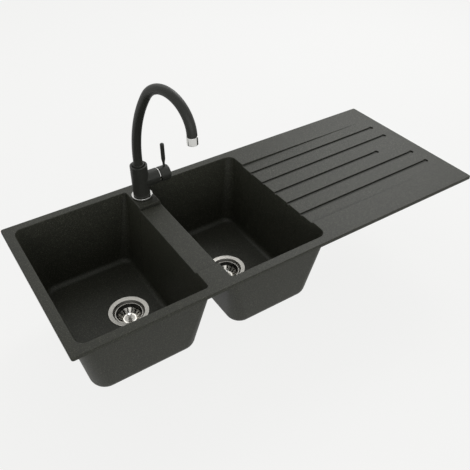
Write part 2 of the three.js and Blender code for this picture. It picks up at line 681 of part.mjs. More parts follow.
function basketWaste(side, name) {
  const group = new THREE.Group();
  group.position.set(wasteX(side), WASTE_Y, BOWL_FLOOR);
  const inner = GASKET_OUTER_R - GASKET_WIDTH;
  const upper = -WASTE_SEAT_DEPTH + SEAT_GAP;
  const lower = -FLOOR_THICKNESS - SEAT_GAP;
  piece(group, `${name}_waste_flange`, wasteFlange(), BRUSHED);
  const flangeGasket = ring(inner, GASKET_OUTER_R, upper, upper + FLANGE_GASKET_T);
  const clampGasket = ring(inner, GASKET_OUTER_R, lower - CLAMP_GASKET_T, lower);
  piece(group, `${name}_flange_gasket`, flangeGasket, RUBBER);
  piece(group, `${name}_clamp_gasket`, clampGasket, RUBBER);
  piece(group, `${name}_waste_body`, wasteBody(), PLASTIC);
  piece(group, `${name}_clamp_screw`, clampScrew(), STEEL);
  piece(group, `${name}_basket`, basket(), BRUSHED);
  piece(group, `${name}_basket_knob`, basketKnob(), CHROME);
  piece(group, `${name}_basket_seal`, basketSeal(), RUBBER);
  return group;
}

// ---------------------------------------------------------------- tap body and its fixing
// Heights are from the deck, and the tap's axis is at x = y = 0.
const BASE_RING_Z = BASE_GASKET_T + 2 * SEAT_GAP;
const TAP_BODY_Z = BASE_RING_Z + BASE_RING_T + SEAT_GAP;
const CARTRIDGE_BORE_R = CARTRIDGE_R + SEAT_GAP;
const UNDER_LEDGE = -(SLAB_THICKNESS + SHELL_DROP);

function tapBody() {
  const post = turned([
    [0, TAP_BODY_Z], [TAP_BODY_R, TAP_BODY_Z], [TAP_BODY_R, TAP_BODY_TOP - BODY_CHAMFER],
    [TAP_BODY_R - BODY_CHAMFER, TAP_BODY_TOP], [0, TAP_BODY_TOP],
  ], POST_FACETS);
  const housing = alongX(turned([
    [0, 0], [HOUSING_R, 0], [HOUSING_R, HOUSING_REACH - BODY_CHAMFER],
    [HOUSING_R - BODY_CHAMFER, HOUSING_REACH], [0, HOUSING_REACH],
  ])).translate(0, 0, HOUSING_HEIGHT);
  const socket = turned([
    [0, SOCKET_FLOOR], [SOCKET_R, SOCKET_FLOOR], [SOCKET_R, TAP_BODY_TOP - 3],
    [TAP_BODY_R - 3.5, TAP_BODY_TOP + 1], [0, TAP_BODY_TOP + 1],
  ]);
  const cartridgeBore = alongX(disc(CARTRIDGE_BORE_R, CARTRIDGE_FOOT - SEAT_GAP, HOUSING_REACH + 1))
    .translate(0, 0, HOUSING_HEIGHT);
  const shankBore = disc(SHANK_R + SEAT_GAP, TAP_BODY_Z - 1, TAP_BODY_Z + SHANK_GRIP, MEDIUM);
  const portZ = TAP_BODY_Z + SHANK_GRIP + HOSE_PORT_DEPTH;
  const inletZ = HOUSING_HEIGHT - HOSE_PORT_OFFSET;
  const inlets = [-1, 1].flatMap((side) => {
    const y = side * HOSE_PORT_OFFSET;
    return [
      disc(HOSE_PORT_R, TAP_BODY_Z, portZ, COARSE).translate(0, y, 0),
      disc(WATERWAY_R, portZ - 1, inletZ, COARSE).translate(0, y, 0),
      alongX(disc(WATERWAY_R, -WATERWAY_R, CARTRIDGE_FOOT, COARSE)).translate(0, y, inletZ),
    ];
  });
  const outletZ = HOUSING_HEIGHT + HOSE_PORT_OFFSET;
  const outlet = [
    alongX(disc(WATERWAY_R, -WATERWAY_R, CARTRIDGE_FOOT, COARSE)).translate(0, 0, outletZ),
    disc(WATERWAY_R, outletZ, SOCKET_FLOOR + 1, COARSE),
  ];
  const screwHole = disc(SET_SCREW_R + SEAT_GAP, 0, TAP_BODY_R + 1, COARSE).rotateX(-Math.PI / 2);
  screwHole.translate(0, 0, SET_SCREW_HEIGHT);
  return cut(join(post, housing), socket, cartridgeBore, shankBore, ...inlets, ...outlet, screwHole);
}

function baseRing() {
  const z = BASE_RING_Z;
  const inner = SHANK_R + SLIDE_GAP;
  return turned([
    [inner, z], [BASE_RING_R - 0.6, z], [BASE_RING_R, z + 1], [BASE_RING_R, z + BASE_RING_T - 2.2],
    [BASE_RING_R - 1.2, z + BASE_RING_T - 0.6], [BASE_RING_R - 3, z + BASE_RING_T],
    [inner, z + BASE_RING_T],
  ]);
}

// Horseshoe washer: a ring with a mouth that lets it pass round the shank.
function horseshoe(z0, z1) {
  const inner = SHANK_R + SLIDE_GAP;
  const mouth = block(-inner, inner, -WASHER_R - 1, 0, z0 - 1, z1 + 1);
  return cut(ring(inner, WASHER_R, z0, z1, MEDIUM), mouth);
}

function shankNut(z1) {
  const across = NUT_ACROSS_FLATS / Math.sqrt(3);
  const hexagon = new THREE.CylinderGeometry(across, across, NUT_T, 6).rotateX(Math.PI / 2);
  hexagon.translate(0, 0, z1 - NUT_T / 2);
  return cut(hexagon, disc(SHANK_R + SEAT_GAP, z1 - NUT_T - 1, z1 + 1, MEDIUM));
}

function tapFixing(group) {
  const gasketR = BASE_RING_R - 1.5;
  piece(group, "base_gasket",
    ring(gasketR - BASE_GASKET_WIDTH, gasketR, SEAT_GAP, SEAT_GAP + BASE_GASKET_T), RUBBER);
  piece(group, "base_ring", baseRing(), CHROME);
  const shankTop = TAP_BODY_Z + SHANK_GRIP - SEAT_GAP;
  piece(group, "tap_shank",
    ring(SHANK_R - SHANK_WALL, SHANK_R, -SHANK_LENGTH, shankTop, MEDIUM), BRASS);
  const rubberTop = UNDER_LEDGE - SEAT_GAP;
  const steelTop = rubberTop - RUBBER_WASHER_T - SEAT_GAP;
  const nutTop = steelTop - STEEL_WASHER_T - SEAT_GAP;
  piece(group, "shank_washer_rubber", horseshoe(rubberTop - RUBBER_WASHER_T, rubberTop), RUBBER);
  piece(group, "shank_washer_steel", horseshoe(steelTop - STEEL_WASHER_T, steelTop), STEEL);
  piece(group, "shank_nut", shankNut(nutTop), BRASS);
}

// ---------------------------------------------------------------- spout
// Centre line of the swan neck in its own upright plane: a straight riser, a long easy curve and
// a tight crown.
class SwanNeck extends THREE.Curve {
  constructor() {
    super();
    this.riser = RISER_TOP - TUBE_FOOT;
    this.sway = SWAY_R * SWAY_ANGLE;
    this.crown = CROWN_R * CROWN_ANGLE;
    this.total = this.riser + this.sway + this.crown;
  }

  // Reach from the tap axis and height above the deck at a distance along the tube.
  reachAndHeight(distance) {
    if (distance <= this.riser) return [0, TUBE_FOOT + distance];
    const swayTurn = Math.min((distance - this.riser) / SWAY_R, SWAY_ANGLE);
    const crownTurn = Math.max(distance - this.riser - this.sway, 0) / CROWN_R;
    const turn = SWAY_ANGLE + crownTurn;
    let reach = SWAY_R * (1 - Math.cos(swayTurn));
    let height = RISER_TOP + SWAY_R * Math.sin(swayTurn);
    if (crownTurn > 0) {
      reach += CROWN_R * (Math.cos(SWAY_ANGLE) - Math.cos(turn));
      height += CROWN_R * (Math.sin(turn) - Math.sin(SWAY_ANGLE));
    }
    return [reach, height];
  }

  getPoint(t, target = new THREE.Vector3()) {
    const [reach, height] = this.reachAndHeight(t * this.total);
    return target.set(reach * Math.cos(SPOUT_HEADING), reach * Math.sin(SPOUT_HEADING), height);
  }
}

const swanNeck = new SwanNeck();

function spoutTube() {
  const section = new THREE.Shape();
  section.absarc(0, 0, TUBE_R, 0, 2 * Math.PI, false);
  const bore = new THREE.Path();
  bore.absarc(0, 0, TUBE_BORE_R, 0, 2 * Math.PI, true);
  section.holes.push(bore);
  return new THREE.ExtrudeGeometry(section, {
    steps: TUBE_STEPS,
    curveSegments: TUBE_FACETS_A_HALF,
    extrudePath: swanNeck,
    bevelEnabled: false,
  });
}

const SPIGOT_R = SOCKET_R - SPIGOT_PLAY;

function sealGroove(height) {
  const halfWidth = SEAL_CORD_R + 0.4;
  const floorR = SPIGOT_R - 2 * SEAL_CORD_R - SEAT_GAP;
  return ring(floorR, SPIGOT_R + 1, height - halfWidth, height + halfWidth);
}

function spoutCollar() {
  const foot = SOCKET_FLOOR + BEARING_RING_T + 2 * SEAT_GAP;
  const seat = TUBE_R + SEAT_GAP;
  const body = turned([
    [COLLAR_BORE_R, foot], [SPIGOT_R, foot], [SPIGOT_R, COLLAR_TOP - 1.5],
    [SPIGOT_R - 1.5, COLLAR_TOP], [seat, COLLAR_TOP], [seat, TUBE_FOOT - SEAT_GAP],
    [COLLAR_BORE_R, TUBE_FOOT - SEAT_GAP],
  ]);
  const grip = SET_SCREW_R + SLIDE_GAP;
  const grooveFoot = SET_SCREW_HEIGHT - grip;
  const grooveTop = SET_SCREW_HEIGHT + grip;
  const screwGroove = ring(SPIGOT_R - SET_SCREW_BITE, SPIGOT_R + 1, grooveFoot, grooveTop);
  return cut(body, sealGroove(LOWER_SEAL_HEIGHT), sealGroove(UPPER_SEAL_HEIGHT), screwGroove);
}

function spoutSeal(height) {
  const centreR = SPIGOT_R - SEAL_CORD_R + SEAT_GAP / 2;
  return new THREE.TorusGeometry(centreR, SEAL_CORD_R, 6, MEDIUM).translate(0, 0, height);
}

// Aerator, made along +Z from the tube's end, in the group of the mouth.
function aeratorHousing() {
  const neckR = TUBE_BORE_R - AERATOR_NECK_PLAY;
  const neckBore = neckR - AERATOR_NECK_WALL;
  const bore = AERATOR_R - AERATOR_WALL;
  return turned([
    [neckBore, -AERATOR_NECK], [neckR, -AERATOR_NECK], [neckR, SEAT_GAP],
    [AERATOR_R - 0.8, SEAT_GAP], [AERATOR_R, SEAT_GAP + 0.8], [AERATOR_R, AERATOR_LENGTH - 1],
    [AERATOR_R - 1, AERATOR_LENGTH], [bore - AERATOR_LIP, AERATOR_LENGTH],
    [bore - AERATOR_LIP, AERATOR_LENGTH - AERATOR_LIP], [bore, AERATOR_LENGTH - AERATOR_LIP],
    [bore, AERATOR_STOP], [neckBore, AERATOR_STOP],
  ]);
}

function aeratorInsert() {
  const radius = AERATOR_R - AERATOR_WALL - SEAT_GAP;
  const end = AERATOR_LENGTH - AERATOR_LIP - SEAT_GAP;
  const start = AERATOR_STOP + SEAT_GAP + AERATOR_SEAL_T + SEAT_GAP;
  const body = turned([
    [0, start], [radius - 1, start], [radius, start + 1], [radius, end], [0, end],
  ], MEDIUM);
  const jets = [];
  for (let i = 0; i < AERATOR_JETS; i += 1) {
    const jet = disc(AERATOR_JET_R, end - AERATOR_JET_DEPTH, end + 1, JET_FACETS);
    jets.push(jet.translate(AERATOR_JET_CIRCLE_R, 0, 0).rotateZ((2 * Math.PI * i) / AERATOR_JETS));
  }
  jets.push(disc(AERATOR_JET_R, end - AERATOR_JET_DEPTH, end + 1, JET_FACETS));
  return cut(body, ...jets);
}

function spout(group) {
  const bearingZ = SOCKET_FLOOR + SEAT_GAP;
  piece(group, "spout_bearing_ring",
    ring(COLLAR_BORE_R, SPIGOT_R, bearingZ, bearingZ + BEARING_RING_T, MEDIUM), WHITE_PLASTIC);
  piece(group, "spout_collar", spoutCollar(), MATT_BLACK);
  piece(group, "spout_seal_lower", spoutSeal(LOWER_SEAL_HEIGHT), RUBBER);
  piece(group, "spout_seal_upper", spoutSeal(UPPER_SEAL_HEIGHT), RUBBER);
  piece(group, "spout_tube", spoutTube(), MATT_BLACK);
  const screw = disc(SET_SCREW_R, 0, SET_SCREW_LENGTH, COARSE).rotateX(-Math.PI / 2);
  screw.translate(0, SPIGOT_R - SET_SCREW_BITE + SLIDE_GAP, SET_SCREW_HEIGHT);
  piece(group, "spout_set_screw", screw, STEEL);
  const mouth = new THREE.Group();
  mouth.position.copy(swanNeck.getPoint(1));
  mouth.quaternion.setFromUnitVectors(new THREE.Vector3(0, 0, 1), swanNeck.getTangent(1));
  const sealR = AERATOR_R - AERATOR_WALL - SEAT_GAP;
  const sealZ = AERATOR_STOP + SEAT_GAP;
  const seal = ring(AERATOR_SEAL_BORE_R, sealR, sealZ, sealZ + AERATOR_SEAL_T, MEDIUM);
  piece(mouth, "aerator_housing", aeratorHousing(), CHROME);
  piece(mouth, "aerator_seal", seal, RUBBER);
  piece(mouth, "aerator_insert", aeratorInsert(), WHITE_PLASTIC);
  group.add(mouth);
}

// ---------------------------------------------------------------- cartridge and handle
// Made along +Z from the tap axis, in a group that lays them along the housing. There the
// lever points to -X, which is up on the finished tap.
function cartridgeBody() {
  return turned([
    [0, CARTRIDGE_FOOT], [CARTRIDGE_R, CARTRIDGE_FOOT], [CARTRIDGE_R, CARTRIDGE_SHOULDER],
    [CARTRIDGE_NOSE_R, CARTRIDGE_SHOULDER], [CARTRIDGE_NOSE_R, CARTRIDGE_NOSE_END],
    [CARRIER_R + SEAT_GAP, CARTRIDGE_NOSE_END], [CARRIER_R + SEAT_GAP, CARTRIDGE_WELL_FLOOR],
    [0, CARTRIDGE_WELL_FLOOR],
  ]);
}

function cartridgeRing() {
  const inner = CARTRIDGE_NOSE_R + SEAT_GAP;
  const lip = HOUSING_REACH + SEAT_GAP;
  return turned([
    [inner, CARTRIDGE_SHOULDER + SEAT_GAP], [CARTRIDGE_R, CARTRIDGE_SHOULDER + SEAT_GAP],
    [CARTRIDGE_R, lip], [RING_VISIBLE_R, lip], [RING_VISIBLE_R, RING_END - 0.8],
    [RING_VISIBLE_R - 0.8, RING_END], [inner, RING_END],
  ]);
}

function cartridgeCarrier() {
  const foot = CARTRIDGE_WELL_FLOOR + SEAT_GAP;
  const drum = disc(CARRIER_R, foot, CARRIER_END, MEDIUM);
  const slot = block(-CARRIER_R + 2.5, CARRIER_R - 2.5, -CARRIER_SLOT / 2, CARRIER_SLOT / 2,
    foot + 2, CARRIER_END + 1);
  const pinHole = disc(PIN_R + SEAT_GAP, -CARRIER_R - 1, CARRIER_R + 1, COARSE).rotateX(Math.PI / 2);
  return cut(drum, slot, pinHole.translate(0, 0, TILT_PIVOT));
}

function stemPin() {
  const half = PIN_LENGTH / 2;
  return disc(PIN_R, -half, half, COARSE).rotateX(Math.PI / 2).translate(0, 0, TILT_PIVOT);
}

function cartridgeStem() {
  const half = STEM_WIDTH / 2;
  const rod = block(-half, half, -half, half, STEM_FOOT, STEM_END);
  const hole = disc(PIN_R + SEAT_GAP, -half - 1, half + 1, COARSE).rotateX(Math.PI / 2);
  return cut(rod, hole.translate(0, 0, TILT_PIVOT));
}

const GRUB_STATION = (HUB_CAVITY_END + STEM_END) / 2;
const GRUB_TIP = STEM_WIDTH / 2 + SEAT_GAP;

// The hub: a cap over the cartridge with a boss that holds the stem, a rim cut back opposite the
// lever, and holes for the lever, the grub screw and its plug.
function handleHub() {
  const cap = turned([
    [0, HUB_RIM], [HUB_R, HUB_RIM], [HUB_R, HUB_END - 2], [HUB_R - 0.6, HUB_END - 0.6],
    [HUB_R - 2, HUB_END], [0, HUB_END],
  ]);
  const cavity = disc(HUB_R - HUB_WALL, HUB_RIM - 1, HUB_CAVITY_END);
  const half = STEM_WIDTH / 2 + SEAT_GAP;
  const stemWell = block(-half, half, -half, half, HUB_CAVITY_END - 1, STEM_END + SEAT_GAP);
  const relief = prismAlongY([
    [0, HUB_RIM - 1], [0, HUB_RIM], [HUB_R, HUB_RIM + HUB_RELIEF], [HUB_R + 1, HUB_RIM + HUB_RELIEF],
    [HUB_R + 1, HUB_RIM - 1],
  ], -HUB_R - 1, HUB_R + 1);
  const leverHole = disc(LEVER_NECK_R + SEAT_GAP, HUB_R - LEVER_FOOT - SEAT_GAP, HUB_R + 1, COARSE);
  leverHole.rotateY(-Math.PI / 2).translate(0, 0, LEVER_STATION);
  const grubHole = disc(GRUB_R + SEAT_GAP, GRUB_TIP - SEAT_GAP, HUB_R, COARSE);
  const plugHole = disc(PLUG_R + SEAT_GAP, HUB_R - PLUG_T - SEAT_GAP, HUB_R + 1, COARSE);
  const place = (hole) => hole.rotateY(Math.PI / 2).translate(0, 0, GRUB_STATION);
  return cut(cap, cavity, stemWell, relief, leverHole, place(grubHole), place(plugHole));
}

// Made along +Z from the hub's axis.
function leverRod() {
  const tip = LEVER_TIP - HOUSING_HEIGHT;
  const neck = HUB_R + LEVER_NECK_LENGTH;
  const dome = 4;
  const points = [[0, HUB_R - LEVER_FOOT], [LEVER_NECK_R, HUB_R - LEVER_FOOT], [LEVER_NECK_R, neck]];
  const taperSteps = 3;
  for (let i = 1; i <= taperSteps; i += 1) {
    const share = i / taperSteps;
    const swell = (1 - Math.cos(Math.PI * share)) / 2;
    points.push([LEVER_NECK_R + (LEVER_R - LEVER_NECK_R) * swell, neck + LEVER_TAPER * share]);
  }
  const domeSteps = 4;
  for (let i = 0; i <= domeSteps; i += 1) {
    const angle = (Math.PI / 2) * (i / domeSteps);
    const radius = i === domeSteps ? 0 : LEVER_R - dome + dome * Math.cos(angle);
    points.push([radius, tip - dome + dome * Math.sin(angle)]);
  }
  return turned(points, MEDIUM);
}

function handle(group) {
  piece(group, "cartridge_body", cartridgeBody(), WHITE_PLASTIC);
  piece(group, "cartridge_ring", cartridgeRing(), CHROME);
  piece(group, "cartridge_carrier", cartridgeCarrier(), WHITE_PLASTIC);
  piece(group, "stem_pin", stemPin(), STEEL);
  piece(group, "cartridge_stem", cartridgeStem(), BRASS);
  piece(group, "handle_hub", handleHub(), MATT_BLACK);
  const lever = leverRod().rotateY(-Math.PI / 2).translate(0, 0, LEVER_STATION);
  piece(group, "lever_rod", lever, MATT_BLACK);
  const grub = disc(GRUB_R, GRUB_TIP, GRUB_TIP + GRUB_LENGTH, COARSE);
  piece(group, "handle_set_screw", grub.rotateY(Math.PI / 2).translate(0, 0, GRUB_STATION), STEEL);
  const plug = disc(PLUG_R, HUB_R - PLUG_T, HUB_R - SEAT_GAP, COARSE);
  piece(group, "handle_plug", plug.rotateY(Math.PI / 2).translate(0, 0, GRUB_STATION), PLASTIC);
}

function mixerTap() {
  const group = new THREE.Group();
  group.position.set(BRIDGE_X, TAP_Y, DECK);
  piece(group, "tap_body", tapBody(), MATT_BLACK);
  tapFixing(group);
  spout(group);
  const housing = new THREE.Group();
  housing.position.z = HOUSING_HEIGHT;
  housing.rotation.y = Math.PI / 2;
  handle(housing);
  group.add(housing);
  return group;
}

// ---------------------------------------------------------------- assembly
const sink = new THREE.Group();
piece(sink, "sink_basin", basin(), GRANITE);
sink.add(basketWaste(-1, "left"));
sink.add(basketWaste(1, "right"));
sink.add(mixerTap());

export default sink;
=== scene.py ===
"""Finished surfaces of a double bowl composite sink, its two basket strainers and its mixer tap.

Every piece is built in millimetres from the sizes in the property groups, in the frame of the
packed model, and is turned to metres when its mesh is made.
"""

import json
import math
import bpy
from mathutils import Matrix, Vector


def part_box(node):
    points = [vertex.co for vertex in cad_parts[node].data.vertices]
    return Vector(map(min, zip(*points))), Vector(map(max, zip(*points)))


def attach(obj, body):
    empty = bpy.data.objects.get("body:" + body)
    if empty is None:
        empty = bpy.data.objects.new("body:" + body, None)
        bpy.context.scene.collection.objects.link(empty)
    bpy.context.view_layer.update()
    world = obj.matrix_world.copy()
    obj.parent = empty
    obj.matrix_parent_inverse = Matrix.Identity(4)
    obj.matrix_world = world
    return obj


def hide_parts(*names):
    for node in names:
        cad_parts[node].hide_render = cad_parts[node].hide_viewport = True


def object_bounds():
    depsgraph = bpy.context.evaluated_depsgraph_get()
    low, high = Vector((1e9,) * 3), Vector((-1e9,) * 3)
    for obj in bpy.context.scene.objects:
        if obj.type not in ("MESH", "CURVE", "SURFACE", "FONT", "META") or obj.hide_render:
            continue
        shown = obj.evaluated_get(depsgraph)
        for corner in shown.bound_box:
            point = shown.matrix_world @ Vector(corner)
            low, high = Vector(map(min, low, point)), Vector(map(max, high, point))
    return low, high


bl_info = {
    "name": "Double Bowl Composite Sink",
    "version": (1, 0, 0),
    "blender": (4, 5, 0),
    "location": "View3D > Sidebar > Sink",
    "description": "Builds the finished surfaces of a double bowl sink around its packed frame",
    "category": "Add Mesh",
}

import bmesh
import bpy
from bpy.props import FloatProperty, FloatVectorProperty, IntProperty, PointerProperty
from mathutils import Matrix, Vector
from mathutils.geometry import delaunay_2d_cdt

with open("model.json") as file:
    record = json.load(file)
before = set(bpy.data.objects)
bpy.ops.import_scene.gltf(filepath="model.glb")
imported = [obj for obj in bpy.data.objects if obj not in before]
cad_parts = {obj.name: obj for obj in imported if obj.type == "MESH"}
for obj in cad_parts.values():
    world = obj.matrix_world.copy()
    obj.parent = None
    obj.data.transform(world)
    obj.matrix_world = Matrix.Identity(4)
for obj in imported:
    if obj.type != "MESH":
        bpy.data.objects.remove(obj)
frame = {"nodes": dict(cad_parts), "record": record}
CAD_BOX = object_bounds()

MM = 0.001
WELD = 0.001  # mm within which points are one
FULL_TURN = 2 * math.pi
QUARTER = math.pi / 2
# Segments of turned pieces, from the widest to the finest.
WIDE_STEPS = 128
ROUND_STEPS = 96
BAR_STEPS = 64
KNOB_STEPS = 48
FINE_STEPS = 32


# ------------------------------------------------------------------------------- properties
def length(name, description, millimetres):
    """A length that the user sees in scene units."""
    return FloatProperty(
        name=name,
        description=description,
        default=millimetres * MM,
        unit="LENGTH",
        subtype="DISTANCE",
        precision=4,
    )


def turn(name, description, degrees):
    """An angle that the user sees in degrees."""
    return FloatProperty(
        name=name, description=description, default=math.radians(degrees), subtype="ANGLE"
    )


def srgb(text):
    """Linear red, green and blue of an sRGB hex value."""
    channels = [int(text[i : i + 2], 16) / 255 for i in (1, 3, 5)]
    return tuple(c / 12.92 if c <= 0.04045 else ((c + 0.055) / 1.055) ** 2.4 for c in channels)


def colour(name, description, text):
    """A colour from its sRGB hex value."""
    return FloatVectorProperty(
        name=name,
        description=description,
        default=srgb(text),
        size=3,
        min=0,
        max=1,
        subtype="COLOR",
    )


def watts(name, description, power):
    """The power of a lamp."""
    return FloatProperty(name=name, description=description, default=power, min=0)


class BasinSizes(bpy.types.PropertyGroup):
    """The composite moulding."""

    slab_thickness: length("Slab thickness", "Rim above the worktop", 9)
    slab_corner: length("Slab corner", "Plan radius of the slab's corners", 6)
    edge: length("Edge radius", "Rounding of the upper edges", 2)
    rim_left: length("Left rim", "Slab's left edge to the left bowl", 24)
    rim_front: length("Front rim", "Slab's front edge to the bowls", 25)
    bowl_width: length("Bowl width", "Front to rear", 431)
    left_bowl: length("Left bowl length", "Along the sink", 304)
    right_bowl: length("Right bowl length", "Along the sink", 275)
    bridge: length("Bridge width", "Between the bowls", 60)
    bridge_drop: length("Bridge drop", "Lowered stretch below the deck", 7.5)
    bridge_front: length("Bridge front land", "Full height in front of the lowered stretch", 57)
    tap_ledge: length("Tap ledge", "Full height behind the lowered stretch, from the rear", 108)
    bowl_depth: length("Bowl depth", "Deck to bowl floor", 200)
    bowl_wall: length("Bowl wall", "Thickness of the bowls' walls", 8)
    floor_thickness: length("Floor thickness", "Thickness of the bowls' floors", 9)
    bowl_draft: turn("Bowl draft", "Lean of the bowls' walls", 8)
    bowl_fillet: length("Bowl fillet", "Between wall and floor, inside", 16)
    bowl_heel: length("Bowl heel", "Between wall and floor, outside", 32)
    corner_outer: length("Outer corner", "Plan corners away from the bridge", 22)
    corner_bridge: length("Bridge corner", "Plan corners beside the bridge", 8)
    corner_floor: length("Floor corner", "Plan corners at the foot of the walls", 32)
    drainer_drop: length("Drainer drop", "At the bowl's edge, rising to nothing", 5)
    drainer_length: length("Drainer length", "From the bowl's edge", 437)
    drainer_front: length("Drainer front land", "From the slab's front edge", 80)
    drainer_rear: length("Drainer rear land", "From the slab's rear edge", 83)
    grooves: IntProperty(name="Grooves", description="Channels in the drainer", default=5, min=1)
    groove_pitch: length("Groove pitch", "Between the grooves' centre lines", 56.6)
    groove_reach: length("Groove reach", "Bowl edge to the far side of a dimple", 459)
    short_groove: length("Middle groove reach", "The middle groove is shorter", 375)
    dimple: length("Dimple radius", "Round end of a groove", 7)


class StrainerSizes(bpy.types.PropertyGroup):
    """The basket strainer wastes."""

    from_bridge: length("From the bridge", "Waste centre to the bridge's centre line", 148)
    flange: length("Flange radius", "Outer edge of the flange", 53)
    hole: length("Hole radius", "Waste hole in the bowl's floor", 44.5)
    slots: IntProperty(name="Slots", description="Drain slots round a basket", default=14, min=3)
    slot_width: length("Slot width", "Across a drain slot", 3.6)


class TapSizes(bpy.types.PropertyGroup):
    """The mixer tap. Heights are above the deck."""

    from_rear: length("From the rear", "Tap axis to the slab's rear edge", 63)
    body: length("Body radius", "Upright post", 22.5)
    body_top: length("Body top", "Top of the post", 97)
    housing_height: length("Housing height", "Axis of the cartridge housing", 48)
    housing: length("Housing radius", "Side housing", 20.5)
    housing_reach: length("Housing reach", "Tap axis to the housing's mouth", 50)
    tube: length("Tube radius", "Swan neck", 12)
    heading: turn("Spout heading", "About the tap axis, from the drainer's side", -76)
    riser_top: length("Riser top", "Where the swan neck starts to lean", 110)
    sway: length("Sway radius", "Long, easy curve of the riser", 345)
    sway_turn: turn("Sway angle", "Turn of the easy curve", 35)
    crown: length("Crown radius", "Tight curve over the top", 81)
    crown_turn: turn("Crown angle", "Turn of the tight curve", 145)
    lever: length("Lever station", "Tap axis to the lever", 71)
    lever_tip: length("Lever tip", "Top of the lever", 137)


class FinishColours(bpy.types.PropertyGroup):
    """Base colours of the finishes."""

    granite: colour("Granite composite", "Resin and quartz body", "#2D2E25")
    granite_fleck: colour("Pale fleck", "Pale quartz grains", "#57584D")
    granite_shade: colour("Dark fleck", "Dark grains", "#191917")
    steel: colour("Stainless steel", "Pressed and brushed", "#B6B4AE")
    chrome: colour("Chrome", "Polished plating", "#CECECB")
    black: colour("Matt black", "Coat on the tap", "#30312D")
    brass: colour("Brass", "Machined", "#B8975A")
    white: colour("White plastic", "Moulded acetal", "#E6E4DE")
    nylon: colour("Black plastic", "Moulded nylon", "#2A2A2C")
    rubber: colour("Rubber", "Moulded seals", "#191919")


class StudioSettings(bpy.types.PropertyGroup):
    """Floor, lamps and backdrop."""

    floor: colour("Floor", "Plain pale floor", "#F6F6F5")
    key_power: watts("Key lamp", "Soft lamp behind the drainer, in watts", 30)
    rear_power: watts("Rear lamp", "Soft lamp behind the sink, in watts", 7)
    front_power: watts("Front lamp", "Low lamp at the front, in watts", 17)


# ------------------------------------------------------------------------------- shapes
def mesh_object(name, points, faces):
    """A mesh object at the origin from points in millimetres."""
    mesh = bpy.data.meshes.new(name)
    mesh.from_pydata([Vector(p) * MM for p in points], [], faces)
    built = bpy.data.objects.new(name, mesh)
    bpy.context.scene.collection.objects.link(built)
    return built


def settle(built):
    """Welds doubled points and turns every face outwards."""
    shape = bmesh.new()
    shape.from_mesh(built.data)
    bmesh.ops.remove_doubles(shape, verts=shape.verts, dist=WELD * MM)
    bmesh.ops.dissolve_degenerate(shape, dist=WELD * MM, edges=shape.edges)
    bmesh.ops.recalc_face_normals(shape, faces=shape.faces)
    shape.to_mesh(built.data)
    shape.free()
    return built


def rounded(corners, steps=6):
    """A closed outline from [radius, height, fillet] corners, with each fillet as an arc."""
    outline = []
    count = len(corners)
    for i, corner in enumerate(corners):
        here = Vector(corner[:2])
        fillet = corner[2] if len(corner) > 2 else 0
        if fillet == 0:
            outline.append(tuple(here))
            continue
        before = (Vector(corners[i - 1][:2]) - here).normalized()
        after = (Vector(corners[(i + 1) % count][:2]) - here).normalized()
        half = before.angle(after) / 2
        reach = fillet / math.tan(half)
        centre = here + (before + after).normalized() * (fillet / math.sin(half))
        start, end = here + before * reach - centre, here + after * reach - centre
        sweep = start.angle_signed(end)
        for step in range(steps + 1):
            arm = Matrix.Rotation(-sweep * step / steps, 2) @ start
            outline.append(tuple(centre + arm))
    return outline


def circle(x, y, radius, segments):
    """Points round a circle, counter-clockwise."""
    turns = [FULL_TURN * i / segments for i in range(segments)]
    return [(x + radius * math.cos(a), y + radius * math.sin(a)) for a in turns]


def turned(name, outline, segments=ROUND_STEPS):
    """A solid turned about Z. The outline of [radius, height] points closes on itself."""
    points, faces, rings = [], [], []
    for radius, height in outline:
        if radius < WELD:
            rings.append([len(points)] * segments)
            points.append((0, 0, height))
            continue
        rings.append(list(range(len(points), len(points) + segments)))
        points.extend((x, y, height) for x, y in circle(0, 0, radius, segments))
    for lower, upper in zip(rings, rings[1:] + rings[:1]):
        for i in range(segments):
            j = (i + 1) % segments
            face = list(dict.fromkeys((lower[i], lower[j], upper[j], upper[i])))
            if len(face) > 2:
                faces.append(face)
    return settle(mesh_object(name, points, faces))


def block(name, low, high):
    """A box between two opposite corners."""
    (x0, y0, z0), (x1, y1, z1) = low, high
    points = [(x, y, z) for x in (x0, x1) for y in (y0, y1) for z in (z0, z1)]
    faces = [(0, 1, 3, 2), (4, 6, 7, 5), (0, 4, 5, 1), (2, 3, 7, 6), (0, 2, 6, 4), (1, 5, 7, 3)]
    return settle(mesh_object(name, points, faces))


def drum(name, radius, z0, z1, segments=BAR_STEPS):
    """A round bar about Z."""
    return turned(name, [(0, z0), (radius, z0), (radius, z1), (0, z1)], segments)


def stack(name, rings):
    """A closed skin over rings of equal point count, with a flat cap at each end."""
    count = len(rings[0])
    points = [p for level in rings for p in level]
    faces = []
    for level in range(len(rings) - 1):
        for i in range(count):
            a, b = level * count + i, level * count + (i + 1) % count
            faces.append((a, b, b + count, a + count))
    faces.append(tuple(range(count)))
    faces.append(tuple(range(len(points) - count, len(points))))
    return settle(mesh_object(name, points, faces))


def moved(built, place):
    """Puts a place in millimetres into the mesh, so that the object stays at the origin."""
    scaled = place.copy()
    scaled.translation = place.translation * MM
    built.data.transform(scaled)
    if scaled.determinant() < 0:
        built.data.flip_normals()
    return built


def shift(x, y, z):
    """A place without a turn, in millimetres."""
    return Matrix.Translation((x, y, z))


def baked(built):
    """The object's own mesh after its modifiers, which are then removed."""
    evaluated = built.evaluated_get(bpy.context.evaluated_depsgraph_get())
    mesh = bpy.data.meshes.new_from_object(evaluated)
    built.modifiers.clear()
    old = built.data
    built.data = mesh
    mesh.name = built.name
    bpy.data.meshes.remove(old)
    return built


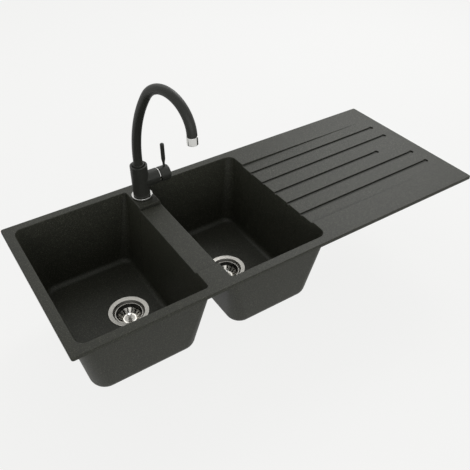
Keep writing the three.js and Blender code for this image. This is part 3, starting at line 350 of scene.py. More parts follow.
def combine(built, others, operation):
    """Joins others to a solid or cuts them from it, and uses them up."""
    for other in others:
        step = built.modifiers.new("combine", "BOOLEAN")
        step.operation = operation
        step.solver = "MANIFOLD"
        step.object = other
        baked(built)
        used = other.data
        bpy.data.objects.remove(other)
        bpy.data.meshes.remove(used)
    if not built.data.polygons:
        raise RuntimeError(f"{built.name} has no faces left")
    return built


def join(built, *others):
    """Adds others to a solid."""
    return combine(built, others, "UNION")


def cut(built, *others):
    """Cuts others from a solid."""
    return combine(built, others, "DIFFERENCE")


FLAT_WEIGHT = 60  # how far wide faces win over fillets in the shading


def smoothed(built, degrees):
    """Smooth shading that keeps edges over an angle, and keeps flats flat beside fillets."""
    built.data.shade_smooth()
    built.data.set_sharp_from_angle(angle=math.radians(degrees))
    weighted = built.modifiers.new("flats", "WEIGHTED_NORMAL")
    weighted.keep_sharp = True
    weighted.weight = FLAT_WEIGHT
    return baked(built)


def finished(built, name, body, slot, node, degrees=32):
    """Names a piece, gives it its finish, and sets it on its body in place of its CAD node."""
    smoothed(built, degrees)
    built.name = name
    built.data.name = name
    built.data.materials.clear()
    built.data.materials.append(bpy.data.materials[MATERIAL_OF_SLOT[slot]])
    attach(built, body)
    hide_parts(node)


# ------------------------------------------------------------------------------- basin
TOUCH = 1e-6  # mm by which a point may miss a corner's quadrant
JUST_SHORT = 1e-9  # of a station, so that the end of a side isn't the next corner's start


class Outline:
    """Plan of a bowl or slab: a rectangle with one radius at its left corners and one right."""

    def __init__(self, x0, x1, y0, y1, left_r, right_r):
        self.x0, self.x1, self.y0, self.y1 = x0, x1, y0, y1
        self.left_r, self.right_r = left_r, right_r

    def grown(self, by):
        """The outline pushed out all round, and its radii with it."""
        sides = self.x0 - by, self.x1 + by, self.y0 - by, self.y1 + by
        return Outline(*sides, self.left_r + by, self.right_r + by)

    def inset(self, by, radius):
        """The outline drawn in all round, with one radius at every corner."""
        sides = self.x0 + by, self.x1 - by, self.y0 + by, self.y1 - by
        return Outline(*sides, radius, radius)

    def box(self):
        """The corners of the rectangle, as if they were square."""
        return [(self.x0, self.y0), (self.x1, self.y0), (self.x1, self.y1), (self.x0, self.y1)]

    def corners(self):
        """Centre, radius and starting angle of each corner, counter-clockwise."""
        left, right = self.left_r, self.right_r
        return (
            (self.x1 - right, self.y1 - right, right, 0.0),
            (self.x0 + left, self.y1 - left, left, QUARTER),
            (self.x0 + left, self.y0 + left, left, math.pi),
            (self.x1 - right, self.y0 + right, right, 1.5 * math.pi),
        )

    @staticmethod
    def outward(start):
        """Signs of x and y away from the centre of the corner that starts at this angle."""
        middle = start + math.pi / 4
        return math.copysign(1, math.cos(middle)), math.copysign(1, math.sin(middle))

    def point(self, station):
        """Place of a station: 0..1 runs round the first corner, 1..2 along the side after it."""
        corner, along = divmod(station, 2)
        cx, cy, radius, start = self.corners()[int(corner) % 4]
        if along <= 1:
            angle = start + along * QUARTER
            return cx + radius * math.cos(angle), cy + radius * math.sin(angle)
        nx, ny, next_radius, next_start = self.corners()[(int(corner) + 1) % 4]
        x, y = math.cos(next_start), math.sin(next_start)
        a = Vector((cx + radius * x, cy + radius * y))
        b = Vector((nx + next_radius * x, ny + next_radius * y))
        return tuple(a.lerp(b, along - 1))

    def station(self, x, y):
        """Station of a point on the outline."""
        for k, (cx, cy, _, start) in enumerate(self.corners()):
            sx, sy = self.outward(start)
            if (x - cx) * sx >= -TOUCH and (y - cy) * sy >= -TOUCH:
                slack = math.pi / 8
                angle = (math.atan2(y - cy, x - cx) - start + slack) % FULL_TURN - slack
                return 2 * k + min(max(angle / QUARTER, 0), 1)
        here, sides = Vector((x, y)), []
        for k in range(4):
            a, b = Vector(self.point(2 * k + 1)), Vector(self.point(2 * k + 2 - JUST_SHORT))
            side = b - a
            along = min(max((here - a).dot(side) / side.length_squared, 0), 1)
            sides.append(((a + side * along - here).length, 2 * k + 1 + along))
        return min(sides)[1]

    def distance(self, x, y):
        """Distance outside the outline, negative inside."""
        for cx, cy, radius, start in self.corners():
            sx, sy = self.outward(start)
            if (x - cx) * sx > 0 and (y - cy) * sy > 0:
                return math.hypot(x - cx, y - cy) - radius
        return max(self.x0 - x, x - self.x1, self.y0 - y, y - self.y1)

    def ring(self, steps):
        """Points round the outline with this many steps to a corner."""
        return [self.point(2 * k + i / steps) for k in range(4) for i in range(steps + 1)]


def ease(value):
    """Smooth step from 0 to 1."""
    t = min(max(value, 0), 1)
    return t * t * (3 - 2 * t)


def between(value, table):
    """Straight-line interpolation in a table of rising (place, height) rows."""
    for (a, low), (b, high) in zip(table, table[1:]):
        if value <= b:
            return low + (high - low) * max(value - a, 0) / (b - a)
    return table[-1][1]


# Depth across a groove from its centre line, and across a dimple from its centre.
GROOVE_PROFILE = (
    (0, -3.5), (2.2, -3.45), (3.3, -3.2), (3.9, -2.6), (4.3, -1.8), (4.6, -1.0), (4.9, -0.45),
    (5.3, -0.12), (5.9, 0),
)
DIMPLE_PROFILE = (
    (0, -3.5), (3.4, -3.48), (5.0, -3.25), (5.8, -2.7), (6.3, -1.8), (6.6, -1.0), (6.9, -0.45),
    (7.3, -0.12), (7.9, 0),
)
STEP_WIDTH = 3.2  # plan width of the soft steps round the drainer and the bridge
EDGE_ROOM = 5  # past a bowl's edge, over which a stretch of the deck keeps its level
RUN_IN = 2  # past a bowl's edge, to which the lines of the sheet run
DIMPLE_REACH = 9  # to each side of a dimple's centre
MARGIN = 12  # round the slab, out to which the hollow reaches
LID = 12  # above the deck and below the bowls' floors, to which the hollow reaches
PLAY = 0.5  # round a flange in its seat
SEAT_DEPTH = 3.5
ARRIS = 0.8  # small rounded edges
HOLE_ARRIS = 0.5
ON_EDGE = 0.01  # mm within which a point lies on a bowl's edge
SLIVER = 0.02  # twice the area in mm2 of a triangle that lies along a straight side
# Steps of the soft steps, the rounded edges, the corners, the dimples and the round seats.
STEP_SAMPLES = 8
LIP_STEPS = 5
SLAB_STEPS = 8
CORNER_STEPS = 18
DIMPLE_STEPS = 40
SEAT_STEPS = 96
INNER_STEPS = 12
OUTER_STEPS = 10


class BasinPlan:
    """Places of everything in the moulding, in millimetres."""

    def __init__(self, sizes, strainer, tap):
        low, high = (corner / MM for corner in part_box("sink_basin"))
        self.deck = sizes.slab_thickness / MM
        self.edge = sizes.edge / MM
        corner = sizes.slab_corner / MM
        self.slab = Outline(low.x, high.x, low.y, high.y, corner, corner)
        y0 = low.y + sizes.rim_front / MM
        y1 = y0 + sizes.bowl_width / MM
        outer, inner = sizes.corner_outer / MM, sizes.corner_bridge / MM
        x0 = low.x + sizes.rim_left / MM
        x1 = x0 + sizes.left_bowl / MM
        self.left = Outline(x0, x1, y0, y1, outer, inner)
        x2 = x1 + sizes.bridge / MM
        x3 = x2 + sizes.right_bowl / MM
        self.right = Outline(x2, x3, y0, y1, inner, outer)
        self.bowls = (self.left, self.right)
        self.bridge_y = (y0 + sizes.bridge_front / MM, high.y - sizes.tap_ledge / MM)
        self.bridge_drop = sizes.bridge_drop / MM
        self.drainer_y = (low.y + sizes.drainer_front / MM, high.y - sizes.drainer_rear / MM)
        self.drainer_drop = sizes.drainer_drop / MM
        self.drainer_end = x3 + sizes.drainer_length / MM
        self.floor = self.deck - sizes.bowl_depth / MM
        self.floor_thickness = sizes.floor_thickness / MM
        self.wall = sizes.bowl_wall / MM
        self.draft = sizes.bowl_draft
        self.fillet = sizes.bowl_fillet / MM
        self.heel = sizes.bowl_heel / MM
        self.floor_corner = sizes.corner_floor / MM
        pitch = sizes.groove_pitch / MM
        middle = (sizes.grooves - 1) / 2
        centre = sum(self.drainer_y) / 2
        self.grooves = []
        for i in range(sizes.grooves):
            reach = sizes.short_groove if i == middle else sizes.groove_reach
            end = x3 + reach / MM - sizes.dimple / MM
            self.grooves.append((centre + (i - middle) * pitch, end))
        bridge_x, away = (x1 + x2) / 2, strainer.from_bridge / MM
        self.wastes = tuple((x, (y0 + y1) / 2) for x in (bridge_x - away, bridge_x + away))
        self.waste_seat = strainer.flange / MM + PLAY
        self.waste_hole = strainer.hole / MM
        self.tap = (bridge_x, high.y - tap.from_rear / MM)

    def lip(self, distance):
        """Drop of a rounded edge at a distance inside it."""
        if distance >= self.edge:
            return 0
        gap = self.edge - max(distance, 0)
        return self.edge - math.sqrt(max(self.edge**2 - gap**2, 0))

    def height(self, x, y):
        """Height of the upper surface outside the bowls."""
        z = self.deck
        half = STEP_WIDTH / 2
        if self.left.x1 - EDGE_ROOM < x < self.right.x0 + EDGE_ROOM:
            inside = min(y - self.bridge_y[0], self.bridge_y[1] - y)
            z -= self.bridge_drop * ease((inside + half) / STEP_WIDTH)
        if self.right.x1 - EDGE_ROOM < x < self.drainer_end:
            inside = min(y - self.drainer_y[0], self.drainer_y[1] - y)
            fall = (self.drainer_end - x) / (self.drainer_end - self.right.x1)
            z -= self.drainer_drop * min(fall, 1) * ease((inside + half) / STEP_WIDTH)
        if x > self.right.x1 - EDGE_ROOM:
            depth = 0
            for centre, end in self.grooves:
                if x <= end:
                    depth = min(depth, between(abs(y - centre), GROOVE_PROFILE))
                depth = min(depth, between(math.hypot(x - end, y - centre), DIMPLE_PROFILE))
            z += depth
        for bowl in self.bowls:
            z -= self.lip(bowl.distance(x, y))
        return z - self.lip(-self.slab.distance(x, y))


class Sheet:
    """Paths that become a triangulated sheet with its heights set afterwards."""

    def __init__(self):
        self.points, self.edges = [], []

    def path(self, coordinates, closed=False):
        """Adds a line of points, which the triangles then keep to."""
        first, count = len(self.points), len(coordinates)
        self.points.extend(Vector(c) for c in coordinates)
        last = count if closed else count - 1
        self.edges.extend((first + i, first + (i + 1) % count) for i in range(last))

    def triangles(self):
        """Points and triangles of the area inside the outermost path."""
        points, _, faces, *_ = delaunay_2d_cdt(self.points, self.edges, [], 0, 1e-4, False)
        return points, faces


def lip_distances(plan):
    """Distances from an edge at which its rounding is sampled, and one flat step beyond it."""
    arc = [plan.edge * (1 - math.cos(QUARTER * i / LIP_STEPS)) for i in range(LIP_STEPS + 1)]
    return [*arc, plan.edge * 1.8]


def deck_sheet(plan):
    """Triangulated upper surface between the slab's footprint and the bowls' edges."""
    sheet = Sheet()
    sheet.path(plan.slab.grown(MARGIN).box(), closed=True)
    for distance in lip_distances(plan):
        sheet.path(plan.slab.grown(-distance).ring(SLAB_STEPS), closed=True)
        for bowl in plan.bowls:
            sheet.path(bowl.grown(distance).ring(CORNER_STEPS), closed=True)
    samples = [STEP_WIDTH * (i / STEP_SAMPLES - 0.5) for i in range(STEP_SAMPLES + 1)]
    start, end = plan.left.x1 - RUN_IN, plan.right.x0 + RUN_IN
    for y in plan.bridge_y:
        for sample in samples:
            sheet.path([(start, y + sample), (end, y + sample)])
    start, end = plan.right.x1 - RUN_IN, plan.drainer_end
    for y in plan.drainer_y:
        for sample in samples:
            sheet.path([(start, y + sample), (end + 1, y + sample)])
    front, rear = plan.drainer_y
    sheet.path([(end, front - EDGE_ROOM), (end, rear + EDGE_ROOM)])
    for y, end in plan.grooves:
        for offset, _ in GROOVE_PROFILE:
            for side in (-1, 1) if offset else (1,):
                sheet.path([(start, y + side * offset), (end, y + side * offset)])
        sheet.path([(end, y - DIMPLE_REACH), (end, y + DIMPLE_REACH)])
        for radius, _ in DIMPLE_PROFILE[1:]:
            sheet.path(circle(end, y, radius, DIMPLE_STEPS), closed=True)
    flat, faces = sheet.triangles()
    kept = []
    for face in faces:
        x = sum(flat[i].x for i in face) / 3
        y = sum(flat[i].y for i in face) / 3
        if all(bowl.distance(x, y) > 0 for bowl in plan.bowls):
            kept.append(tuple(face))
    used = sorted({i for face in kept for i in face})
    order = {old: new for new, old in enumerate(used)}
    points = [(flat[i].x, flat[i].y, plan.height(flat[i].x, flat[i].y)) for i in used]
    return points, [tuple(order[i] for i in face) for face in kept]


def bowl_levels(plan, outline, wall, fillet, floor, steps):
    """Outlines and heights of a bowl's skin from the top of its fillet down to its floor."""
    box = outline.grown(wall)
    centre_z = floor + fillet
    centre_inset = (plan.deck - centre_z) * math.tan(plan.draft) + fillet / math.cos(plan.draft)
    tangent_inset = centre_inset - fillet * math.cos(plan.draft)
    levels = []
    for i in range(steps + 1):
        angle = plan.draft + (QUARTER - plan.draft) * i / steps
        inset = centre_inset - fillet * math.cos(angle)
        radius = plan.floor_corner + wall - (inset - tangent_inset)
        levels.append((box.inset(inset, radius), centre_z - fillet * math.sin(angle)))
    return levels


def add_ring(points, faces, above, places):
    """Adds a ring of points, and the skin between it and the ring above, if there is one."""
    size = len(places)
    ring = list(range(len(points), len(points) + size))
    points.extend(places)
    if above:
        for i in range(size):
            j = (i + 1) % size
            faces.append((above[i], above[j], ring[j], ring[i]))
    return ring


def bowl_skin(plan, bowl, open_points, points, faces):
    """Inside walls and fillet of a bowl, from its edge in the deck to its floor's outline."""
    edge = [i for i in open_points if abs(bowl.distance(*points[i][:2])) < ON_EDGE]
    stations = {i: bowl.station(*points[i][:2]) for i in edge}
    ring = sorted(edge, key=stations.get)
    marks = [stations[i] for i in ring]
    for outline, z in bowl_levels(plan, bowl, 0, plan.fillet, plan.floor, INNER_STEPS):
        ring = add_ring(points, faces, ring, [(*outline.point(mark), z) for mark in marks])
    return ring


def bowl_floor(plan, ring, waste, points, faces):
    """Flat floor from the foot of the walls to the edge of the waste's seat."""
    floor = Sheet()
    floor.path([points[i][:2] for i in ring], closed=True)
    edge = plan.waste_seat + ARRIS
    floor.path(circle(*waste, edge, SEAT_STEPS), closed=True)
    flat, triangles = floor.triangles()
    first = len(points)
    points.extend((p.x, p.y, plan.floor) for p in flat)
    for triangle in triangles:
        a, b, c = (flat[i] for i in triangle)
        sliver = abs((b - a).cross(c - a)) < SLIVER
        from_waste = ((a + b + c) / 3 - Vector(waste)).length
        if not sliver and from_waste > edge * math.cos(math.pi / SEAT_STEPS):
            faces.append(tuple(first + i for i in triangle))


def waste_hole(plan, waste, points, faces):
    """Seat of the flange, and the hole through the floor under it."""
    seat, hole = plan.waste_seat, plan.waste_hole
    profile = (
        (seat + ARRIS, 0), (seat + 0.25, -0.2), (seat, -ARRIS), (seat, -SEAT_DEPTH),
        (hole + HOLE_ARRIS, -SEAT_DEPTH), (hole, -SEAT_DEPTH - HOLE_ARRIS),
        (hole, -plan.floor_thickness - LID),
    )
    ring = None
    for radius, drop in profile:
        places = [(x, y, plan.floor + drop) for x, y in circle(*waste, radius, SEAT_STEPS)]
        ring = add_ring(points, faces, ring, places)
    faces.append(tuple(ring))


def hollow(plan):
    """Everything above the moulding's upper surface, bowls and waste holes included."""
    points, faces = deck_sheet(plan)
    uses = {}
    for face in faces:
        for edge in map(frozenset, zip(face, face[1:] + face[:1])):
            uses[edge] = uses.get(edge, 0) + 1
    open_points = {i for edge, used in uses.items() if used == 1 for i in edge}
    for bowl, waste in zip(plan.bowls, plan.wastes):
        ring = bowl_skin(plan, bowl, open_points, points, faces)
        bowl_floor(plan, ring, waste, points, faces)
        waste_hole(plan, waste, points, faces)
    ring = None
    for z in (plan.deck - plan.edge, plan.deck + LID):
        places = [(x, y, z) for x, y in plan.slab.grown(MARGIN).box()]
        ring = add_ring(points, faces, ring, places)
    faces.append(tuple(ring))
    return settle(mesh_object("hollow", points, faces))


SKIRT_INSET = 12  # from the slab's edge
SKIRT_DROP = 12  # below the worktop's top face
SKIRT_WALL = 6
SHELL_DROP = 5  # underside of the drainer below the worktop's top face
RIB_WALL = 6
RIB_BAYS = (4, 3)
BAY_CORNER = 5
BAY_STEPS = 6
CLEAR = 5  # by which a cutter passes the face that it opens
OVERLAP = 4  # of the slab's block with the space above the deck
SHELL_TOP = 2  # where a bowl's outside starts within the slab
TAP_HOLE_R = 17.5


def slab_block(plan):
    """The slab in plan, its lower edge rounded and its top left for the hollow to shape."""
    levels = ((ARRIS, 0), (0.25, 0.25), (0, ARRIS), (0, plan.deck + OVERLAP))
    rings = []
    for inset, z in levels:
        rings.append([(x, y, z) for x, y in plan.slab.grown(-inset).ring(SLAB_STEPS)])
    return stack("slab", rings)


def skirt_tray(plan):
    """Skirt and ribs that hang inside the worktop cut-out."""
    x0, y0 = plan.slab.x0 + SKIRT_INSET, plan.slab.y0 + SKIRT_INSET
    tray = block("tray", (x0, y0, -SKIRT_DROP), (-x0, -y0, plan.deck / 2))
    first = plan.right.x1 + plan.wall + RIB_WALL
    y_first = y0 + SKIRT_WALL
    bays_x, bays_y = RIB_BAYS
    pitch_x = (-x0 - SKIRT_WALL + RIB_WALL - first) / bays_x
    pitch_y = (-2 * y_first + RIB_WALL) / bays_y
    low, high = -SKIRT_DROP - CLEAR, -SHELL_DROP
    pockets = []
    for i in range(bays_x):
        for j in range(bays_y):
            x, y = first + i * pitch_x, y_first + j * pitch_y
            sides = x, x + pitch_x - RIB_WALL, y, y + pitch_y - RIB_WALL
            ring = Outline(*sides, BAY_CORNER, BAY_CORNER).ring(BAY_STEPS)
            pockets.append(stack("pocket", [[(px, py, z) for px, py in ring] for z in (low, high)]))
    x0, x1 = plan.left.x1 - plan.floor_corner, plan.right.x0 + plan.floor_corner
    pockets.append(block("pocket", (x0, y_first, low), (x1, -y_first, high)))
    return cut(tray, *pockets)


def bowl_outside(plan, outline):
    """A bowl's walls and floor as a solid, before its inside is cut."""
    underside = plan.floor - plan.floor_thickness
    levels = bowl_levels(plan, outline, plan.wall, plan.heel, underside, OUTER_STEPS)
    levels.insert(0, (outline.grown(plan.wall), SHELL_TOP))
    rings = [[(x, y, z) for x, y in level.ring(CORNER_STEPS)] for level, z in levels]
    return stack("outside", rings)


class SINK_OT_basin(bpy.types.Operator):
    """Moulds the slab, both bowls, the bridge, the tap ledge and the grooved drainer"""

    bl_idname = "sink.basin"
    bl_label = "Basin"

    def execute(self, context):
        scene = context.scene
        plan = BasinPlan(scene.sink_basin, scene.sink_strainer, scene.sink_tap)
        shells = [bowl_outside(plan, bowl) for bowl in plan.bowls]
        body = join(slab_block(plan), skirt_tray(plan), *shells)
        tap_hole = moved(drum("hole", TAP_HOLE_R, -30, 30), shift(*plan.tap, 0))
        body = cut(body, tap_hole, hollow(plan))
        # The angle keeps the soft steps and grooves smooth.
        finished(body, "basin_moulding", "sink", "granite_composite", "sink_basin", 40)
        return {"FINISHED"}


# ------------------------------------------------------------------------------- node trees
def add_node(tree, kind, settings=None, values=None, links=None):
    """Adds a node with its settings, its input values and its incoming links."""
    made = tree.nodes.new(kind)
    for key, value in (settings or {}).items():
        setattr(made, key, value)
    for key, value in (values or {}).items():
        made.inputs[key].default_value = value
    for key, source in (links or {}).items():
        tree.links.new(source, made.inputs[key])
    return made


def geometry_tree(name, sockets):
    """A geometry tree with a mesh in, the named inputs and a mesh out."""
    tree = bpy.data.node_groups.new(name, "GeometryNodeTree")
    tree.interface.new_socket("Geometry", in_out="INPUT", socket_type="NodeSocketGeometry")
    for label, kind, default in sockets:
        socket = tree.interface.new_socket(label, in_out="INPUT", socket_type=kind)
        if default is not None:
            socket.default_value = default
    tree.interface.new_socket("Geometry", in_out="OUTPUT", socket_type="NodeSocketGeometry")
    return tree, add_node(tree, "NodeGroupInput").outputs, add_node(tree, "NodeGroupOutput")


def close_tree(tree, ends, shape, material):
    """Ends a tree with its instances made real and its finish set."""
    real = add_node(tree, "GeometryNodeRealizeInstances", links={0: shape})
    painted = add_node(
        tree, "GeometryNodeSetMaterial", links={"Geometry": real.outputs[0], "Material": material}
    )
    tree.links.new(painted.outputs[0], ends.inputs[0])


def grown_by(built, tree, values):
    """Runs a geometry tree with these inputs on an object, and keeps the mesh."""
    step = built.modifiers.new(tree.name, "NODES")
    step.node_group = tree
    for item in tree.interface.items_tree:
        if item.in_out == "INPUT" and item.name in values:
            step[item.identifier] = values[item.name]
    return baked(built)


def ring_repeat_tree():
    """Copies of the incoming shape at even turns round Z."""
    tree, given, ends = geometry_tree(
        "Ring Repeat", (("Count", "NodeSocketInt", 14), ("Material", "NodeSocketMaterial", None))
    )
    points = add_node(tree, "GeometryNodePoints", links={"Count": given["Count"]})
    index = add_node(tree, "GeometryNodeInputIndex")
    share = add_node(
        tree, "ShaderNodeMath", {"operation": "DIVIDE"},
        links={0: index.outputs[0], 1: given["Count"]},
    )
    angle = add_node(
        tree, "ShaderNodeMath", {"operation": "MULTIPLY"}, {1: FULL_TURN}, {0: share.outputs[0]}
    )
    spin = add_node(tree, "ShaderNodeCombineXYZ", links={"Z": angle.outputs[0]})
    placed = add_node(
        tree,
        "GeometryNodeInstanceOnPoints",
        links={
            "Points": points.outputs[0],
            "Instance": given["Geometry"],
            "Rotation": spin.outputs[0],
        },
    )
    close_tree(tree, ends, placed.outputs[0], given["Material"])


def tube_tree():
    """A round tube along the incoming line of points."""
    tree, given, ends = geometry_tree(
        "Swan Neck Tube",
        (
            ("Radius", "NodeSocketFloat", 0.012),
            ("Sides", "NodeSocketInt", 64),
            ("Material", "NodeSocketMaterial", None),
        ),
    )
    curve = add_node(tree, "GeometryNodeMeshToCurve", links={"Mesh": given["Geometry"]})
    profile = add_node(
        tree,
        "GeometryNodeCurvePrimitiveCircle",
        links={"Resolution": given["Sides"], "Radius": given["Radius"]},
    )
    tube = add_node(
        tree,
        "GeometryNodeCurveToMesh",
        values={"Fill Caps": True},
        links={"Curve": curve.outputs[0], "Profile Curve": profile.outputs[0]},
    )
    close_tree(tree, ends, tube.outputs[0], given["Material"])


def thread_tree():
    """Copies of the incoming thread crest, one pitch apart up the Z axis."""
    tree, given, ends = geometry_tree(
        "Thread Crests",
        (
            ("Count", "NodeSocketInt", 8),
            ("Pitch", "NodeSocketFloat", 0.0023),
            ("Material", "NodeSocketMaterial", None),
        ),
    )
    step = add_node(tree, "ShaderNodeCombineXYZ", links={"Z": given["Pitch"]})
    line = add_node(
        tree, "GeometryNodeMeshLine", links={"Count": given["Count"], "Offset": step.outputs[0]}
    )
    placed = add_node(
        tree,
        "GeometryNodeInstanceOnPoints",
        links={"Points": line.outputs[0], "Instance": given["Geometry"]},
    )
    close_tree(tree, ends, placed.outputs[0], given["Material"])


CREST_SHARE = 0.42  # of the pitch, from a crest's middle to its foot
CREST_FLAT = 0.5  # width of a crest's top
CREST_SUNK = 0.4  # by which a crest's foot lies within the pipe


def threaded(name, root, crest, z0, z1, pitch, slot):
    """Thread crests round a pipe from z0 to z1, as one mesh."""
    half = pitch * CREST_SHARE
    flat, sunk = CREST_FLAT / 2, root - CREST_SUNK
    ridge = turned(name, [(sunk, -half), (crest, -flat), (crest, flat), (sunk, half)], BAR_STEPS)
    moved(ridge, shift(0, 0, z0 + pitch / 2))
    material = bpy.data.materials[MATERIAL_OF_SLOT[slot]]
    values = {"Count": int((z1 - z0) / pitch), "Pitch": pitch * MM, "Material": material}
    return grown_by(ridge, bpy.data.node_groups["Thread Crests"], values)


# ------------------------------------------------------------------------------- strainers
GAP = 0.3  # between faces that rest on each other
SHEET_STEEL = 1.2
CUP_R = 37
CUP_FLOOR = -34
HUB_R = 9
ARM_WIDTH = 5
ARM_TURNS = (45, 135)  # degrees
ARM_REACH = 23  # into the cup's wall
CASING_ARM_REACH = 43.2  # into the casing's wall
SCREW_HOLE_R = 3.3
SLOT_INNER, SLOT_OUTER, SLOT_CORNER = 18.6, 28.6, 1.2
STUD_HOLE_R = 2.9
KNOB_FOOT = -26.5
CASING_HUB_R = 6.5
CASING_HUB_HEIGHT = 10
OUTLET_ROOT, OUTLET_CREST, OUTLET_PITCH = 22.7, 23.9, 2.309
OUTLET_THREAD = (-90.4, -67)


def spider(reach, z0, z1):
    """Two crossed bars over the drain."""
    bars = []
    for degrees in ARM_TURNS:
        bar = block("arm", (-reach, -ARM_WIDTH / 2, z0), (reach, ARM_WIDTH / 2, z1))
        bars.append(moved(bar, Matrix.Rotation(math.radians(degrees), 4, "Z")))
    return bars


def flange_pressing(strainer):
    """Flange with its dished rim, and the cup with its crossed bars over the drain."""
    edge, under = strainer.flange / MM, CUP_FLOOR - SHEET_STEEL
    outside = CUP_R + SHEET_STEEL
    shell = turned("flange", rounded([
        (21, under), (outside, under, 2.4), (outside, -6.9, 1.2), (41.4, -1.9, 1.2),
        (45.3, -1.4, 1), (edge, -1.4, 0.7), (edge, 1.2, 1.3), (41, -0.3, 1.6),
        (CUP_R, -5.9, 1.6), (CUP_R, CUP_FLOOR, 2), (21, CUP_FLOOR),
    ]))
    hub = drum("hub", HUB_R, under, CUP_FLOOR)
    body = join(shell, hub, *spider(ARM_REACH, under, CUP_FLOOR))
    return cut(body, drum("hole", SCREW_HOLE_R, CUP_FLOOR - CLEAR, CUP_FLOOR + CLEAR))


def strainer_basket(strainer):
    """Lift-out basket with a rolled lip, a deep wall and a slotted cone round a flat floor."""
    shell = turned("basket", rounded([
        (0, -27.8), (18, -27.8, 1.4), (31, -14.8, 2), (34.5, -7.9, 0.6), (36.5, -7.9, 0.4),
        (36.5, -6.5, 0.65), (33.4, -6.5, 0.8), (30, -13.8, 2.6), (17.6, -26.8, 1.6), (0, -26.8),
    ]))
    half = strainer.slot_width / MM / 2
    slot = Outline(SLOT_INNER, SLOT_OUTER, -half, half, SLOT_CORNER, SLOT_CORNER).ring(4)
    cutter = stack("slot", [[(x, y, z) for x, y in slot] for z in (-32, -10)])
    material = bpy.data.materials[MATERIAL_OF_SLOT["brushed_steel"]]
    values = {"Count": strainer.slots, "Material": material}
    cutter = grown_by(cutter, bpy.data.node_groups["Ring Repeat"], values)
    return cut(shell, cutter, drum("stud", STUD_HOLE_R, -40, -20, FINE_STEPS))


def basket_knob():
    """Waisted knob that lifts the basket, with its stud through the basket's floor."""
    z = KNOB_FOOT
    return turned("knob", rounded([
        (0, z - 3.3), (2.6, z - 3.3), (2.6, z), (5.6, z, 0.4), (5.6, z + 1.6, 0.8),
        (3.4, z + 4, 1.6), (3.4, z + 9.5, 1.6), (5.6, z + 12.4, 0.8), (5.6, z + 17, 1.8),
        (0, z + 17),
    ]), KNOB_STEPS)


def waste_casing():
    """Moulded body under the bowl with its threaded outlet."""
    shell = turned("casing", rounded([
        (20, -91.2), (OUTLET_ROOT, -91.2, 0.8), (OUTLET_ROOT, -64, 0.6), (23.9, -63.2, 0.6),
        (45.2, -51.2, 2), (45.2, -17.6, 0.8), (53, -17.6, 0.8), (53, -12.6, 0.6),
        (42.2, -12.6), (42.2, -51.2), (20, -61.2),
    ]))
    top = CUP_FLOOR - SHEET_STEEL - GAP
    foot = top - CASING_HUB_HEIGHT
    hub = drum("hub", CASING_HUB_R, foot, top, FINE_STEPS)
    body = join(shell, hub, *spider(CASING_ARM_REACH, foot, top - 2))
    crests = threaded(
        "crests", OUTLET_ROOT, OUTLET_CREST, *OUTLET_THREAD, OUTLET_PITCH, "black_plastic"
    )
    body = join(body, crests)
    return cut(body, drum("thread", SCREW_HOLE_R, foot + 1, top + CLEAR, FINE_STEPS))


class SINK_OT_strainers(bpy.types.Operator):
    """Presses and fits the flange, basket, knob and waste body of both bowls"""

    bl_idname = "sink.strainers"
    bl_label = "Basket strainers"

    def execute(self, context):
        scene = context.scene
        strainer = scene.sink_strainer
        plan = BasinPlan(scene.sink_basin, strainer, scene.sink_tap)
        for side, (x, y) in zip(("left", "right"), plan.wastes):
            place = shift(x, y, plan.floor)
            lifted = f"{side}_strainer"
            steel = "brushed_steel"
            parts = (
                ("flange_pressing", flange_pressing(strainer), "sink", steel, "waste_flange"),
                ("waste_casing", waste_casing(), "sink", "black_plastic", "waste_body"),
                ("strainer_bowl", strainer_basket(strainer), lifted, steel, "basket"),
                ("strainer_knob", basket_knob(), lifted, "chrome", "basket_knob"),
            )
            for name, built, body, slot, node in parts:
                finished(moved(built, place), f"{side}_{name}", body, slot, f"{side}_{node}")
        return {"FINISHED"}


# ------------------------------------------------------------------------------- tap
# Heights are above the deck.
POST_FOOT = 6.9
SOCKET_R, SOCKET_FLOOR = 15.3, 63
CARTRIDGE_R, CARTRIDGE_END = 17.5, 18.2
SHANK_BORE_R, SHANK_BORE_DEPTH = 16.3, 9
NECK_SCREW_R, NECK_SCREW_Z = 2.7, 76
PORT_R, PORT_Y, PORT_TOP = 4.7, 7.2, 27.9
RING_FOOT, RING_HEIGHT = 1.6, 5
TUBE_FOOT = 88
TUBE_WALL = 1.7
TUBE_STEPS = 96  # along the swan neck
COLLAR_FOOT, COLLAR_TOP = 66, 101
COLLAR_BORE, SPIGOT_R, TUBE_SEAT_R = 7.5, 15, 12.3
# Radius of the floor, middle height and half width of a groove round the spigot.
SPIGOT_GROOVES = ((12.4, 69.5, 1.4), (12.4, 83.5, 1.4), (13, 76, 2.9))
JET_R, OUTER_JET_R, JET_SPAN = 1.45, 1.3, (14.5, 20)
JET_CIRCLE, OUTER_JET_CIRCLE = 4, 7.4
JETS, OUTER_JETS, JET_SIDES = 6, 12, 6
# Stations along the housing's axis, from the tap axis.
CAP_R, CAP_FOOT, CAP_END = 20.5, 54.5, 82
GRUB_STATION = 66
LEVER_NECK_R, LEVER_HEAD_R = 3.2, 5.5
FLARE_FOOT, FLARE_HEIGHT, FLARE_STEPS = 28, 18, 12


def along_x(built, height):
    """Lays a shape that was made about Z along +X, at a height above the deck."""
    return moved(built, shift(0, 0, height) @ Matrix.Rotation(QUARTER, 4, "Y"))


